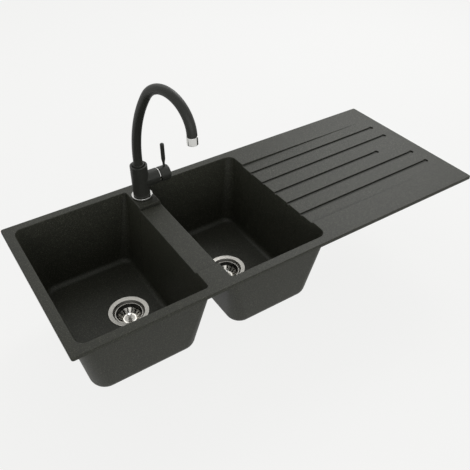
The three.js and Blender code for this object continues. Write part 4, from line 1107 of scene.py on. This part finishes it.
def tap_casting(tap):
    """Upright post with the side housing, its bores and the two hose holes in its foot."""
    top, reach, radius = tap.body_top / MM, tap.housing_reach / MM, tap.body / MM
    housing, height = tap.housing / MM, tap.housing_height / MM
    foot = POST_FOOT
    post = rounded([(0, foot), (radius, foot, 0.6), (radius, top, 1.3), (0, top)])
    arm = rounded([(0, 0), (housing, 0), (housing, reach, 1.2), (0, reach)])
    body = join(
        turned("post", post, WIDE_STEPS), along_x(turned("arm", arm, WIDE_STEPS), height)
    )
    socket = turned("socket", [
        (0, SOCKET_FLOOR), (SOCKET_R, SOCKET_FLOOR), (SOCKET_R, top - 3),
        (radius - 3.5, top + 1), (0, top + 1),
    ])
    bore = along_x(drum("bore", CARTRIDGE_R, CARTRIDGE_END, reach + 1, ROUND_STEPS), height)
    shank = drum("shank", SHANK_BORE_R, foot - 1, foot + SHANK_BORE_DEPTH)
    screw = moved(
        drum("screw", NECK_SCREW_R, 0, radius + 1, FINE_STEPS),
        shift(0, 0, NECK_SCREW_Z) @ Matrix.Rotation(-QUARTER, 4, "X"),
    )
    ports = []
    for side in (-1, 1):
        port = drum("port", PORT_R, foot, PORT_TOP, FINE_STEPS)
        ports.append(moved(port, shift(0, side * PORT_Y, 0)))
    return cut(body, socket, bore, shank, screw, *ports)


def foot_ring():
    """Bright ring under the post."""
    low, high = RING_FOOT, RING_FOOT + RING_HEIGHT
    outline = rounded([(16.5, low), (27.5, low, 0.6), (27.5, high, 0.8), (16.5, high)])
    return turned("foot", outline, WIDE_STEPS)


def swan_neck_line(tap):
    """Points in millimetres along the swan neck's centre line, from its foot to its mouth."""
    riser = tap.riser_top / MM - TUBE_FOOT
    sway, crown = tap.sway / MM, tap.crown / MM
    lengths = (riser, sway * tap.sway_turn, crown * tap.crown_turn)
    points = []
    for i in range(TUBE_STEPS + 1):
        distance = sum(lengths) * i / TUBE_STEPS
        if distance <= riser:
            reach, height = 0, TUBE_FOOT + distance
        else:
            lean = min((distance - riser) / sway, tap.sway_turn)
            fold = lean + max(distance - riser - lengths[1], 0) / crown
            reach = sway * (1 - math.cos(lean)) + crown * (math.cos(lean) - math.cos(fold))
            rise = sway * math.sin(lean) + crown * (math.sin(fold) - math.sin(lean))
            height = tap.riser_top / MM + rise
        x, y = reach * math.cos(tap.heading), reach * math.sin(tap.heading)
        points.append(Vector((x, y, height)))
    return points


def swept(name, points, radius, sides):
    """A round tube along a line of points in millimetres."""
    line = bpy.data.meshes.new(name)
    line.from_pydata([p * MM for p in points], [(i, i + 1) for i in range(len(points) - 1)], [])
    built = bpy.data.objects.new(name, line)
    bpy.context.scene.collection.objects.link(built)
    material = bpy.data.materials[MATERIAL_OF_SLOT["matt_black"]]
    values = {"Radius": radius * MM, "Sides": sides, "Material": material}
    return settle(grown_by(built, bpy.data.node_groups["Swan Neck Tube"], values))


def swan_neck(tap):
    """The tube of the swan neck with its bore."""
    points = swan_neck_line(tap)
    first = (points[0] - points[1]).normalized()
    last = (points[-1] - points[-2]).normalized()
    inside = [points[0] + first * 2, *points, points[-1] + last * 2]
    radius = tap.tube / MM
    tube = swept("tube", points, radius, BAR_STEPS)
    return cut(tube, swept("bore", inside, radius - TUBE_WALL, KNOB_STEPS))


def collar():
    """Spigot that turns in the post, grooved for its two seals and its set screw."""
    seat, tube_foot = TUBE_SEAT_R, TUBE_FOOT - GAP
    body = turned("collar", rounded([
        (COLLAR_BORE, COLLAR_FOOT), (SPIGOT_R, COLLAR_FOOT, 0.5), (SPIGOT_R, COLLAR_TOP, 1.4),
        (seat, COLLAR_TOP, 0.4), (seat, tube_foot), (COLLAR_BORE, tube_foot),
    ]))
    grooves = []
    for floor, height, half in SPIGOT_GROOVES:
        low, high, past = height - half, height + half, SPIGOT_R + 1
        outline = [(floor, low), (past, low), (past, high), (floor, high)]
        grooves.append(turned("groove", outline))
    return cut(body, *grooves)


def aerator_shell():
    """Bright threaded ring at the mouth, made along +Z from the tube's end."""
    return turned("aerator", rounded([
        (7.9, -6), (9.3, -6, 0.3), (9.3, GAP), (12.9, GAP, 0.6), (12.9, 20, 1.1), (9.5, 20, 0.5),
        (9.5, 18.8), (10.7, 18.8), (10.7, 3), (7.9, 3),
    ]))


def aerator_face():
    """Honeycomb of jets behind the aerator's lip."""
    plate = turned("face", rounded([
        (0, 5.2), (9.4, 5.2), (10.4, 6.2), (10.4, 18.5, 0.4), (0, 18.5),
    ]), BAR_STEPS)
    inner = moved(drum("jet", JET_R, *JET_SPAN, JET_SIDES), shift(JET_CIRCLE, 0, 0))
    outer = moved(drum("jet", OUTER_JET_R, *JET_SPAN, JET_SIDES), shift(OUTER_JET_CIRCLE, 0, 0))
    material = bpy.data.materials[MATERIAL_OF_SLOT["white_plastic"]]
    tree = bpy.data.node_groups["Ring Repeat"]
    inner = grown_by(inner, tree, {"Count": JETS, "Material": material})
    outer = grown_by(outer, tree, {"Count": OUTER_JETS, "Material": material})
    return cut(plate, inner, outer, drum("jet", JET_R, *JET_SPAN, JET_SIDES))


def housing_ring():
    """Bright ring between housing and handle, made along +Z from the tap axis."""
    return turned("ring", rounded([
        (13.8, 46.3), (17.2, 46.3), (17.2, 50.3), (19, 50.3, 0.2), (19, 52.8, 0.9),
        (13.8, 52.8, 0.4),
    ]), WIDE_STEPS)


def handle_cap(tap):
    """Cap over the cartridge, made along +Z from the tap axis. The lever points to -X."""
    radius, foot, end = CAP_R, CAP_FOOT, CAP_END
    cap = rounded([(0, foot), (radius, foot, 0.5), (radius, end, 2.2), (0, end)])
    cap = turned("cap", cap, WIDE_STEPS)
    cavity = drum("cavity", 17.3, 53, 64, ROUND_STEPS)
    well = block("well", (-3.8, -3.8, 63), (3.8, 3.8, 68.3))
    # Room for the housing's mouth when the handle tilts.
    room = [(0, foot - 1), (0, foot), (radius, 61), (radius + 1, 61), (radius + 1, foot - 1)]
    room = stack("room", [[(x, y, z) for x, z in room] for y in (-22, 22)])
    lever = moved(
        drum("lever", 3.5, 12.2, 22, KNOB_STEPS),
        shift(0, 0, tap.lever / MM) @ Matrix.Rotation(-QUARTER, 4, "Y"),
    )
    grub = along_x(drum("grub", 2.8, 3.5, 20.5, FINE_STEPS), GRUB_STATION)
    plug = along_x(drum("plug", 3.7, 17.6, 22, FINE_STEPS), GRUB_STATION)
    return cut(cap, cavity, well, room, lever, grub, plug)


def lever_pin(tap):
    """Rod lever that flares to a thicker head, made along +Z from the housing's axis."""
    tip = (tap.lever_tip - tap.housing_height) / MM
    neck, head = LEVER_NECK_R, LEVER_HEAD_R
    outline = [(0, 12.5), (neck, 12.5), (neck, FLARE_FOOT)]
    for i in range(1, FLARE_STEPS + 1):
        share = i / FLARE_STEPS
        radius = neck + (head - neck) * (1 - math.cos(math.pi * share)) / 2
        outline.append((radius, FLARE_FOOT + FLARE_HEIGHT * share))
    outline += rounded([(head, tip - 9), (head, tip, 4), (0, tip)], 10)[1:]
    return turned("lever", outline, BAR_STEPS)


def shank_pipe():
    """Threaded shank through the tap hole."""
    outline = rounded([(13, -62), (15.2, -62, 0.6), (15.2, 15.6), (13, 15.6)])
    pipe = turned("shank", outline, BAR_STEPS)
    return join(pipe, threaded("crests", 15.2, 16, -61, 15, 1.5, "brass"))


class SINK_OT_tap(bpy.types.Operator):
    """Builds the tap's body, rings, swan neck, aerator and lever"""

    bl_idname = "sink.tap"
    bl_label = "Mixer tap"

    def execute(self, context):
        scene = context.scene
        tap = scene.sink_tap
        plan = BasinPlan(scene.sink_basin, scene.sink_strainer, tap)
        axis = shift(*plan.tap, plan.deck)
        line = swan_neck_line(tap)
        mouth = (line[-1] - line[-2]).to_track_quat("Z", "Y").to_matrix().to_4x4()
        at_mouth = axis @ shift(*line[-1]) @ mouth
        height = tap.housing_height / MM
        lever = moved(lever_pin(tap), shift(tap.lever / MM, 0, height))
        parts = (
            ("tap_casting", tap_casting(tap), axis, "sink", "matt_black", "tap_body"),
            ("foot_ring", foot_ring(), axis, "sink", "chrome", "base_ring"),
            ("threaded_shank", shank_pipe(), axis, "sink", "brass", "tap_shank"),
            (
                "housing_ring", along_x(housing_ring(), height), axis,
                "sink", "chrome", "cartridge_ring",
            ),
            ("swivel_collar", collar(), axis, "spout", "matt_black", "spout_collar"),
            ("swan_neck", swan_neck(tap), axis, "spout", "matt_black", "spout_tube"),
            ("aerator_shell", aerator_shell(), at_mouth, "spout", "chrome", "aerator_housing"),
            ("aerator_face", aerator_face(), at_mouth, "spout", "white_plastic", "aerator_insert"),
            (
                "handle_cap", along_x(handle_cap(tap), height), axis,
                "handle", "matt_black", "handle_hub",
            ),
            ("lever_pin", lever, axis, "handle", "matt_black", "lever_rod"),
        )
        for name, built, place, body, slot, node in parts:
            finished(moved(built, place), name, body, slot, node)
        return {"FINISHED"}


# ------------------------------------------------------------------------------- finishes
MATERIAL_OF_SLOT = {
    "granite_composite": "Quartz and acrylic composite, moulded",
    "brushed_steel": "Stainless steel, pressed and circular-brushed",
    "chrome": "Chromium plate, polished",
    "matt_black": "Matt black coat on brass",
    "brass": "Brass, machined",
    "plain_steel": "Stainless steel, rolled",
    "black_plastic": "Glass-filled nylon, moulded",
    "white_plastic": "Acetal, moulded",
    "rubber": "EPDM rubber, moulded",
}


def material_start(slot, values):
    """A new finish: its tree, its shader, and the place on the object in millimetres."""
    material = bpy.data.materials.new(MATERIAL_OF_SLOT[slot])
    material.use_nodes = True
    tree = material.node_tree
    tree.nodes.clear()
    output = add_node(tree, "ShaderNodeOutputMaterial")
    shader = add_node(tree, "ShaderNodeBsdfPrincipled", values=values)
    tree.links.new(shader.outputs[0], output.inputs["Surface"])
    place = add_node(tree, "ShaderNodeTexCoord")
    scaled = add_node(
        tree, "ShaderNodeVectorMath", {"operation": "SCALE"},
        {"Scale": 1 / MM}, {0: place.outputs["Object"]},
    )
    return tree, shader, scaled.outputs[0]


def fill_ramp(ramp, stops):
    """Sets a ramp's colours at their places along a value, and returns its output."""
    elements = ramp.color_ramp.elements
    while len(elements) < len(stops):
        elements.new(0.5)
    for element, (place, shade) in zip(elements, stops):
        element.position = place
        element.color = (*shade, 1)
    return ramp.outputs[0]


NOISE_SPAN = {"From Min": 0.3, "From Max": 0.7}  # between which most of a noise lies


def grained(tree, shader, where, size, tones=None, roughness=None, relief=None, detail=2.0):
    """Grains of about this many millimetres, seen in the colour, the roughness or the relief."""
    noise = add_node(
        tree, "ShaderNodeTexNoise", values={"Scale": 1 / size, "Detail": detail},
        links={"Vector": where},
    ).outputs[0]
    if tones:
        shades = add_node(tree, "ShaderNodeValToRGB", links={0: noise})
        tree.links.new(fill_ramp(shades, tones), shader.inputs["Base Color"])
    if roughness:
        low, high = roughness
        spread = add_node(
            tree, "ShaderNodeMapRange", values={**NOISE_SPAN, "To Min": low, "To Max": high},
            links={"Value": noise},
        )
        tree.links.new(spread.outputs[0], shader.inputs["Roughness"])
    if relief:
        bumps = add_node(
            tree, "ShaderNodeBump", values={"Distance": relief * MM, "Strength": 1.0},
            links={"Height": noise},
        )
        tree.links.new(bumps.outputs[0], shader.inputs["Normal"])


def hollows(tree, reach, span, least, own_shape_only):
    """1 on open surfaces, falling to the least value in hollows narrower than the reach."""
    near = add_node(
        tree, "ShaderNodeAmbientOcclusion", {"samples": 8, "only_local": own_shape_only},
        {"Distance": reach * MM},
    )
    values = {"From Min": span[0], "From Max": span[1], "To Min": least, "To Max": 1.0}
    share = add_node(
        tree, "ShaderNodeMapRange", values=values, links={"Value": near.outputs["AO"]}
    )
    return share.outputs[0]


FLECK_SIZE = 1.2  # mm
CLOUD_SIZE = 60  # mm, of the faint clouds that the mixing leaves


def granite_finish(colours):
    """Quartz sand cast in acrylic."""
    # A dull grain of half a millimetre, dark and pale flecks of 1 mm, and a touch like stone.
    tree, shader, where = material_start("granite_composite", {"IOR": 1.5, "Metallic": 0.0})
    cells = add_node(
        tree, "ShaderNodeTexVoronoi", {"feature": "F1"},
        {"Scale": 1 / FLECK_SIZE, "Randomness": 1.0}, {"Vector": where},
    )
    shade = add_node(tree, "ShaderNodeSeparateColor", links={0: cells.outputs["Color"]})
    flecks = add_node(tree, "ShaderNodeValToRGB", links={0: shade.outputs[0]})
    stops = (
        (0.0, colours.granite_shade), (0.22, colours.granite), (0.8, colours.granite),
        (1.0, colours.granite_fleck),
    )
    noise = add_node(
        tree, "ShaderNodeTexNoise", values={"Scale": 1 / CLOUD_SIZE}, links={"Vector": where}
    )
    cloud = add_node(
        tree, "ShaderNodeMapRange", values={**NOISE_SPAN, "To Min": 0.94, "To Max": 1.06},
        links={"Value": noise.outputs[0]},
    )
    # Painted shade: the grooves and the bowls' inner corners are darkened in colour, and lowered in
    # specular level, where the surface round them hems them in.
    painted_hollow_shade = hollows(tree, 10, (0.62, 0.95), 0.04, True)
    sheen = add_node(tree, "ShaderNodeMath", {"operation": "MULTIPLY"}, {1: 0.3}, {0: painted_hollow_shade})
    tree.links.new(sheen.outputs[0], shader.inputs["Specular IOR Level"])
    tint = fill_ramp(flecks, stops)
    # The colour is scaled by the mixing's faint clouds, then by the painted shade in the hollows.
    for share in (cloud.outputs[0], painted_hollow_shade):
        scaled = add_node(
            tree, "ShaderNodeVectorMath", {"operation": "SCALE"}, links={0: tint, "Scale": share}
        )
        tint = scaled.outputs[0]
    tree.links.new(tint, shader.inputs["Base Color"])
    grained(tree, shader, where, 0.45, roughness=(0.46, 0.6), relief=0.03)


def drain_place(tree, where, centres):
    """X and Y from the middle of the nearer drain, and the height."""
    (left_x, centre_y), (right_x, _) = centres
    split = add_node(tree, "ShaderNodeSeparateXYZ", links={0: where})
    off = add_node(
        tree, "ShaderNodeMath", {"operation": "SUBTRACT"},
        {1: (left_x + right_x) / 2}, {0: split.outputs["X"]},
    )
    folded = add_node(tree, "ShaderNodeMath", {"operation": "ABSOLUTE"}, links={0: off.outputs[0]})
    near = add_node(
        tree, "ShaderNodeMath", {"operation": "SUBTRACT"},
        {1: (right_x - left_x) / 2}, {0: folded.outputs[0]},
    )
    side = add_node(tree, "ShaderNodeMath", {"operation": "SIGN"}, links={0: off.outputs[0]})
    x = add_node(
        tree, "ShaderNodeMath", {"operation": "MULTIPLY"},
        links={0: near.outputs[0], 1: side.outputs[0]},
    )
    y = add_node(
        tree, "ShaderNodeMath", {"operation": "SUBTRACT"}, {1: centre_y}, {0: split.outputs["Y"]}
    )
    return x.outputs[0], y.outputs[0], split.outputs["Z"]


BASKET_EDGE = 34.3  # mm from the drain's middle
# Painted light: brightness against the flange's, from the drain's middle out to the basket's edge.
# The slotted cone is painted far brighter than steel can be, a painted highlight, and the deep wall
# above it is painted dark, a painted shade.
BASKET_PAINTED_LIGHT = (
    (0, 0.8), (13, 0.8), (15, 2.1), (28, 2.1), (28.8, 0.12), (33.9, 0.12), (34.3, 1.0),
)
HAIR_SIZE = 0.35  # mm, coarser than the real lines so that they show


def brushed_finish(colours, centres):
    """Sheet steel spun against abrasive."""
    tree, shader, where = material_start("brushed_steel", {"Metallic": 1.0, "Anisotropic": 0.5})
    # Hair lines run round the drain, so lamps draw a bow tie.
    x, y, height = drain_place(tree, where, centres)
    minus_y = add_node(tree, "ShaderNodeMath", {"operation": "MULTIPLY"}, {1: -1.0}, {0: y})
    tangent = add_node(tree, "ShaderNodeCombineXYZ", links={"X": minus_y.outputs[0], "Y": x})
    unit = add_node(
        tree, "ShaderNodeVectorMath", {"operation": "NORMALIZE"}, links={0: tangent.outputs[0]}
    )
    tree.links.new(unit.outputs[0], shader.inputs["Tangent"])
    flat = add_node(tree, "ShaderNodeCombineXYZ", links={"X": x, "Y": y})
    away = add_node(
        tree, "ShaderNodeVectorMath", {"operation": "LENGTH"}, links={0: flat.outputs[0]}
    )
    radius = away.outputs["Value"]
    lines = add_node(tree, "ShaderNodeCombineXYZ", links={"X": radius, "Z": height})
    hair = add_node(
        tree, "ShaderNodeTexNoise",
        values={"Scale": 1 / HAIR_SIZE, "Detail": 4.0, "Roughness": 0.7},
        links={"Vector": lines.outputs[0]},
    ).outputs[0]
    steel = Vector(colours.steel)
    shades = add_node(tree, "ShaderNodeValToRGB", links={0: hair})
    # Painted shade: the cup under the basket and other close hollows are darkened where the
    # surfaces round them, the basket's included, hem them in.
    painted_cup_shade = hollows(tree, 9, (0.25, 0.5), 0.04, False)
    steel_in_painted_shade = add_node(
        tree, "ShaderNodeVectorMath", {"operation": "SCALE"},
        links={0: fill_ramp(shades, ((0.25, steel * 0.86), (0.75, steel * 1.04))), "Scale": painted_cup_shade},
    )
    # The basket's slotted cone is smoother than the flange; its painted highlight, and the painted
    # shade on the deep wall above it, come from the table of painted light.
    out = add_node(
        tree, "ShaderNodeMath", {"operation": "DIVIDE"}, {1: BASKET_EDGE}, {0: radius}
    )
    painted_light_ramp = add_node(tree, "ShaderNodeValToRGB", links={0: out.outputs[0]})
    tones = [(at / BASKET_EDGE, (tone,) * 3) for at, tone in BASKET_PAINTED_LIGHT]
    steel_with_painted_light = add_node(
        tree, "ShaderNodeVectorMath", {"operation": "MULTIPLY"},
        links={0: steel_in_painted_shade.outputs[0], 1: fill_ramp(painted_light_ramp, tones)},
    )
    tree.links.new(steel_with_painted_light.outputs[0], shader.inputs["Base Color"])
    smooth = add_node(
        tree, "ShaderNodeMapRange",
        values={"From Min": 0.98, "From Max": 1.0, "To Min": 0.6, "To Max": 1.0},
        links={"Value": out.outputs[0]},
    )
    haze = add_node(
        tree, "ShaderNodeMapRange", values={**NOISE_SPAN, "To Min": 0.34, "To Max": 0.48},
        links={"Value": hair},
    )
    roughness = add_node(
        tree, "ShaderNodeMath", {"operation": "MULTIPLY"},
        links={0: haze.outputs[0], 1: smooth.outputs[0]},
    )
    tree.links.new(roughness.outputs[0], shader.inputs["Roughness"])
    bumps = add_node(
        tree, "ShaderNodeBump", values={"Distance": 0.004 * MM, "Strength": 1.0},
        links={"Height": hair},
    )
    tree.links.new(bumps.outputs[0], shader.inputs["Normal"])


def chrome_finish(colours):
    """Plated brass and plastic, polished."""
    # A near mirror with the faintest haze of wiping.
    values = {"Metallic": 1.0, "Base Color": (*colours.chrome, 1)}
    tree, shader, where = material_start("chrome", values)
    grained(tree, shader, where, 9, roughness=(0.05, 0.1))


def black_finish(colours):
    """Coat sprayed on brass and baked."""
    # Soft sheen, a fine dust of paler grains, slight orange peel.
    values = {"IOR": 1.5, "Metallic": 0.0, "Specular IOR Level": 0.3}
    tree, shader, where = material_start("matt_black", values)
    black = Vector(colours.black)
    tones = ((0.4, black * 0.8), (0.72, black * 1.7))
    grained(tree, shader, where, 0.5, tones=tones, detail=1.0)
    grained(tree, shader, where, 2.5, roughness=(0.42, 0.52))
    grained(tree, shader, where, 0.8, relief=0.012)


def plain_finish(slot, base, size, roughness, relief, values):
    """A finish of one colour with a grain of its own size, roughness range and relief."""
    tree, shader, where = material_start(slot, values)
    tone = Vector(base)
    tones = ((0.3, tone * 0.93), (0.7, tone * 1.05))
    grained(tree, shader, where, size, tones, roughness, relief)


class SINK_OT_finishes(bpy.types.Operator):
    """Mixes the finishes and gives every shown part of the frame its own"""

    bl_idname = "sink.finishes"
    bl_label = "Finishes"

    def execute(self, context):
        scene = context.scene
        colours = scene.sink_colours
        plan = BasinPlan(scene.sink_basin, scene.sink_strainer, scene.sink_tap)
        granite_finish(colours)
        brushed_finish(colours, plan.wastes)
        chrome_finish(colours)
        black_finish(colours)
        metal, dull = {"Metallic": 1.0}, {"Metallic": 0.0, "IOR": 1.5}
        # Turned brass: warm, with tool marks of about a quarter of a millimetre.
        plain_finish("brass", colours.brass, 0.25, (0.28, 0.4), 0.006, metal)
        # Rolled stainless: grey and even.
        plain_finish("plain_steel", colours.steel, 0.4, (0.3, 0.42), 0.004, metal)
        # Glass-filled nylon: dull black with a moulded texture.
        plain_finish("black_plastic", colours.nylon, 0.7, (0.48, 0.6), 0.02, dull)
        # Acetal: waxy white.
        plain_finish("white_plastic", colours.white, 1.2, (0.32, 0.42), 0.006, dull)
        # EPDM: dead matt black with a dusting of talc.
        plain_finish("rubber", colours.rubber, 0.9, (0.75, 0.88), 0.015, dull)
        for row in frame["record"]["subparts"]:
            node = frame["nodes"][row["node"]]
            node.data.materials.clear()
            node.data.materials.append(bpy.data.materials[MATERIAL_OF_SLOT[row["material_slot"]]])
        return {"FINISHED"}


class SINK_OT_trees(bpy.types.Operator):
    """Builds the geometry trees that repeat slots, jets and threads and sweep the swan neck"""

    bl_idname = "sink.trees"
    bl_label = "Geometry trees"

    def execute(self, context):
        ring_repeat_tree()
        tube_tree()
        thread_tree()
        return {"FINISHED"}


# ------------------------------------------------------------------------------- stage
CAMERA_PLACE = (-0.7098, -1.0307, 0.9225)
CAMERA_YAW = math.radians(32.860)
CAMERA_PITCH = math.radians(39.385)
CAMERA_ROLL = math.radians(-0.368)
CAMERA_LENS = 45.26
SENSOR = 36
NEAR, FAR = 0.01, 200
FLOOR_REACH = 30000  # mm
FLOOR_SHADE = 0.12  # share of the floor's colour that the lamps light
FLOOR_GLOW = 0.91
DIM_SKY, BRIGHT_SKY = 0.3, 1.0
# Name, place, target, size and power setting of each lamp, in metres.
LAMPS = (
    ("key", (1.9, 1.3, 1.9), (0.1, 0, 0), (1.4, 1.4), "key_power"),
    ("rear", (0.0, 1.9, 2.1), (-0.2, 0, 0), (1.6, 1.2), "rear_power"),
    ("front", (-0.9, -2.6, 0.5), (0, 0, -0.1), (2.4, 0.8), "front_power"),
)


def soft_lamp(name, place, target, size, power):
    """A rectangular lamp at a place, turned to its target."""
    data = bpy.data.lights.new(name, "AREA")
    data.shape = "RECTANGLE"
    data.size, data.size_y = size
    data.energy = power
    lamp = bpy.data.objects.new(name, data)
    lamp.location = place
    lamp.rotation_mode = "QUATERNION"
    lamp.rotation_quaternion = (Vector(target) - Vector(place)).to_track_quat("-Z", "Y")
    bpy.context.scene.collection.objects.link(lamp)


def seen_directly(tree):
    """1 for what the camera sees straight or in metal, 0 for what only lights the object."""
    rays = add_node(tree, "ShaderNodeLightPath")
    seen = add_node(
        tree, "ShaderNodeMath", {"operation": "MAXIMUM"},
        links={0: rays.outputs["Is Camera Ray"], 1: rays.outputs["Is Glossy Ray"]},
    )
    return seen.outputs[0]


def paint_floor(material, base):
    """A floor that keeps the object's shadow and is seen pale by the camera and in metal."""
    material.use_nodes = True
    tree = material.node_tree
    tree.nodes.clear()
    shade = (*(channel * FLOOR_SHADE for channel in base), 1)
    dull = add_node(tree, "ShaderNodeBsdfDiffuse", values={"Color": shade})
    glow = add_node(
        tree, "ShaderNodeEmission", values={"Color": (*base, 1), "Strength": FLOOR_GLOW}
    )
    both = add_node(tree, "ShaderNodeAddShader", links={0: dull.outputs[0], 1: glow.outputs[0]})
    mixed = add_node(
        tree, "ShaderNodeMixShader",
        links={0: seen_directly(tree), 1: dull.outputs[0], 2: both.outputs[0]},
    )
    add_node(tree, "ShaderNodeOutputMaterial", links={"Surface": mixed.outputs[0]})


def lay_floor(studio):
    """The floor at the foot of the packed model."""
    reach, z = FLOOR_REACH, CAD_BOX[0].z / MM
    points = [(-reach, -reach, z), (reach, -reach, z), (reach, reach, z), (-reach, reach, z)]
    floor = mesh_object("studio_floor", points, [(0, 1, 2, 3)])
    paint = bpy.data.materials.new("Studio floor, painted")
    paint_floor(paint, tuple(studio.floor))
    floor.data.materials.append(paint)


def surround(scene):
    """White surroundings, dim as light and bright where they are seen."""
    world = bpy.data.worlds.new("Studio")
    scene.world = world
    world.use_nodes = True
    tree = world.node_tree
    tree.nodes.clear()
    skies = []
    for strength in (DIM_SKY, BRIGHT_SKY):
        values = {"Color": (1, 1, 1, 1), "Strength": strength}
        skies.append(add_node(tree, "ShaderNodeBackground", values=values))
    mixed = add_node(
        tree, "ShaderNodeMixShader",
        links={0: seen_directly(tree), 1: skies[0].outputs[0], 2: skies[1].outputs[0]},
    )
    add_node(tree, "ShaderNodeOutputWorld", links={"Surface": mixed.outputs[0]})


def set_camera(scene):
    """The camera that took the photograph, from its place, yaw, pitch, roll and lens."""
    data = bpy.data.cameras.new("camera")
    data.sensor_fit = "HORIZONTAL"
    data.sensor_width = SENSOR
    data.lens = CAMERA_LENS
    data.clip_start, data.clip_end = NEAR, FAR
    camera = bpy.data.objects.new("camera", data)
    yaw, pitch, roll = CAMERA_YAW, CAMERA_PITCH, CAMERA_ROLL
    flat = math.cos(pitch)
    ahead = Vector((math.sin(yaw) * flat, math.cos(yaw) * flat, -math.sin(pitch)))
    level_right = Vector((math.cos(yaw), -math.sin(yaw), 0))
    level_up = level_right.cross(ahead)
    right = level_right * math.cos(roll) + level_up * math.sin(roll)
    up = right.cross(ahead)
    turned_to = Matrix((right, up, -ahead)).transposed()
    camera.matrix_world = Matrix.Translation(CAMERA_PLACE) @ turned_to.to_4x4()
    scene.collection.objects.link(camera)
    scene.camera = camera
    scene.view_settings.view_transform = "Standard"


class SINK_OT_stage(bpy.types.Operator):
    """Sets the floor, the soft lamps, the pale surroundings and the camera"""

    bl_idname = "sink.stage"
    bl_label = "Stage"

    def execute(self, context):
        scene = context.scene
        studio = scene.sink_studio
        lay_floor(studio)
        surround(scene)
        for name, place, target, size, power in LAMPS:
            soft_lamp(name, place, target, size, getattr(studio, power))
        set_camera(scene)
        return {"FINISHED"}


# ------------------------------------------------------------------------------- panel
class SINK_PT_panel(bpy.types.Panel):
    """The steps of the build, in order"""

    bl_idname = "SINK_PT_panel"
    bl_label = "Double bowl sink"
    bl_space_type = "VIEW_3D"
    bl_region_type = "UI"
    bl_category = "Sink"

    def draw(self, context):
        for step in STEPS:
            self.layout.operator(step.bl_idname)
        for group in GROUPS:
            box = self.layout.box()
            box.label(text=group.__doc__)
            settings = getattr(context.scene, GROUPS[group])
            for name in group.__annotations__:
                box.prop(settings, name)


GROUPS = {
    BasinSizes: "sink_basin",
    StrainerSizes: "sink_strainer",
    TapSizes: "sink_tap",
    FinishColours: "sink_colours",
    StudioSettings: "sink_studio",
}
STEPS = (
    SINK_OT_finishes,
    SINK_OT_trees,
    SINK_OT_basin,
    SINK_OT_strainers,
    SINK_OT_tap,
    SINK_OT_stage,
)


def register():
    """Registers the classes, and hangs each group of settings on the scene."""
    for cls in (*GROUPS, *STEPS, SINK_PT_panel):
        bpy.utils.register_class(cls)
    for group, name in GROUPS.items():
        setattr(bpy.types.Scene, name, PointerProperty(type=group))


def unregister():
    """Takes off what register added, in reverse."""
    for name in GROUPS.values():
        delattr(bpy.types.Scene, name)
    for cls in reversed((*GROUPS, *STEPS, SINK_PT_panel)):
        bpy.utils.unregister_class(cls)


def main():
    """Registers the add-on and runs its steps in order."""
    register()
    for step in STEPS:
        operator = getattr(bpy.ops.sink, step.bl_idname.split(".")[1])
        operator()


if __name__ == "__main__":
    main()
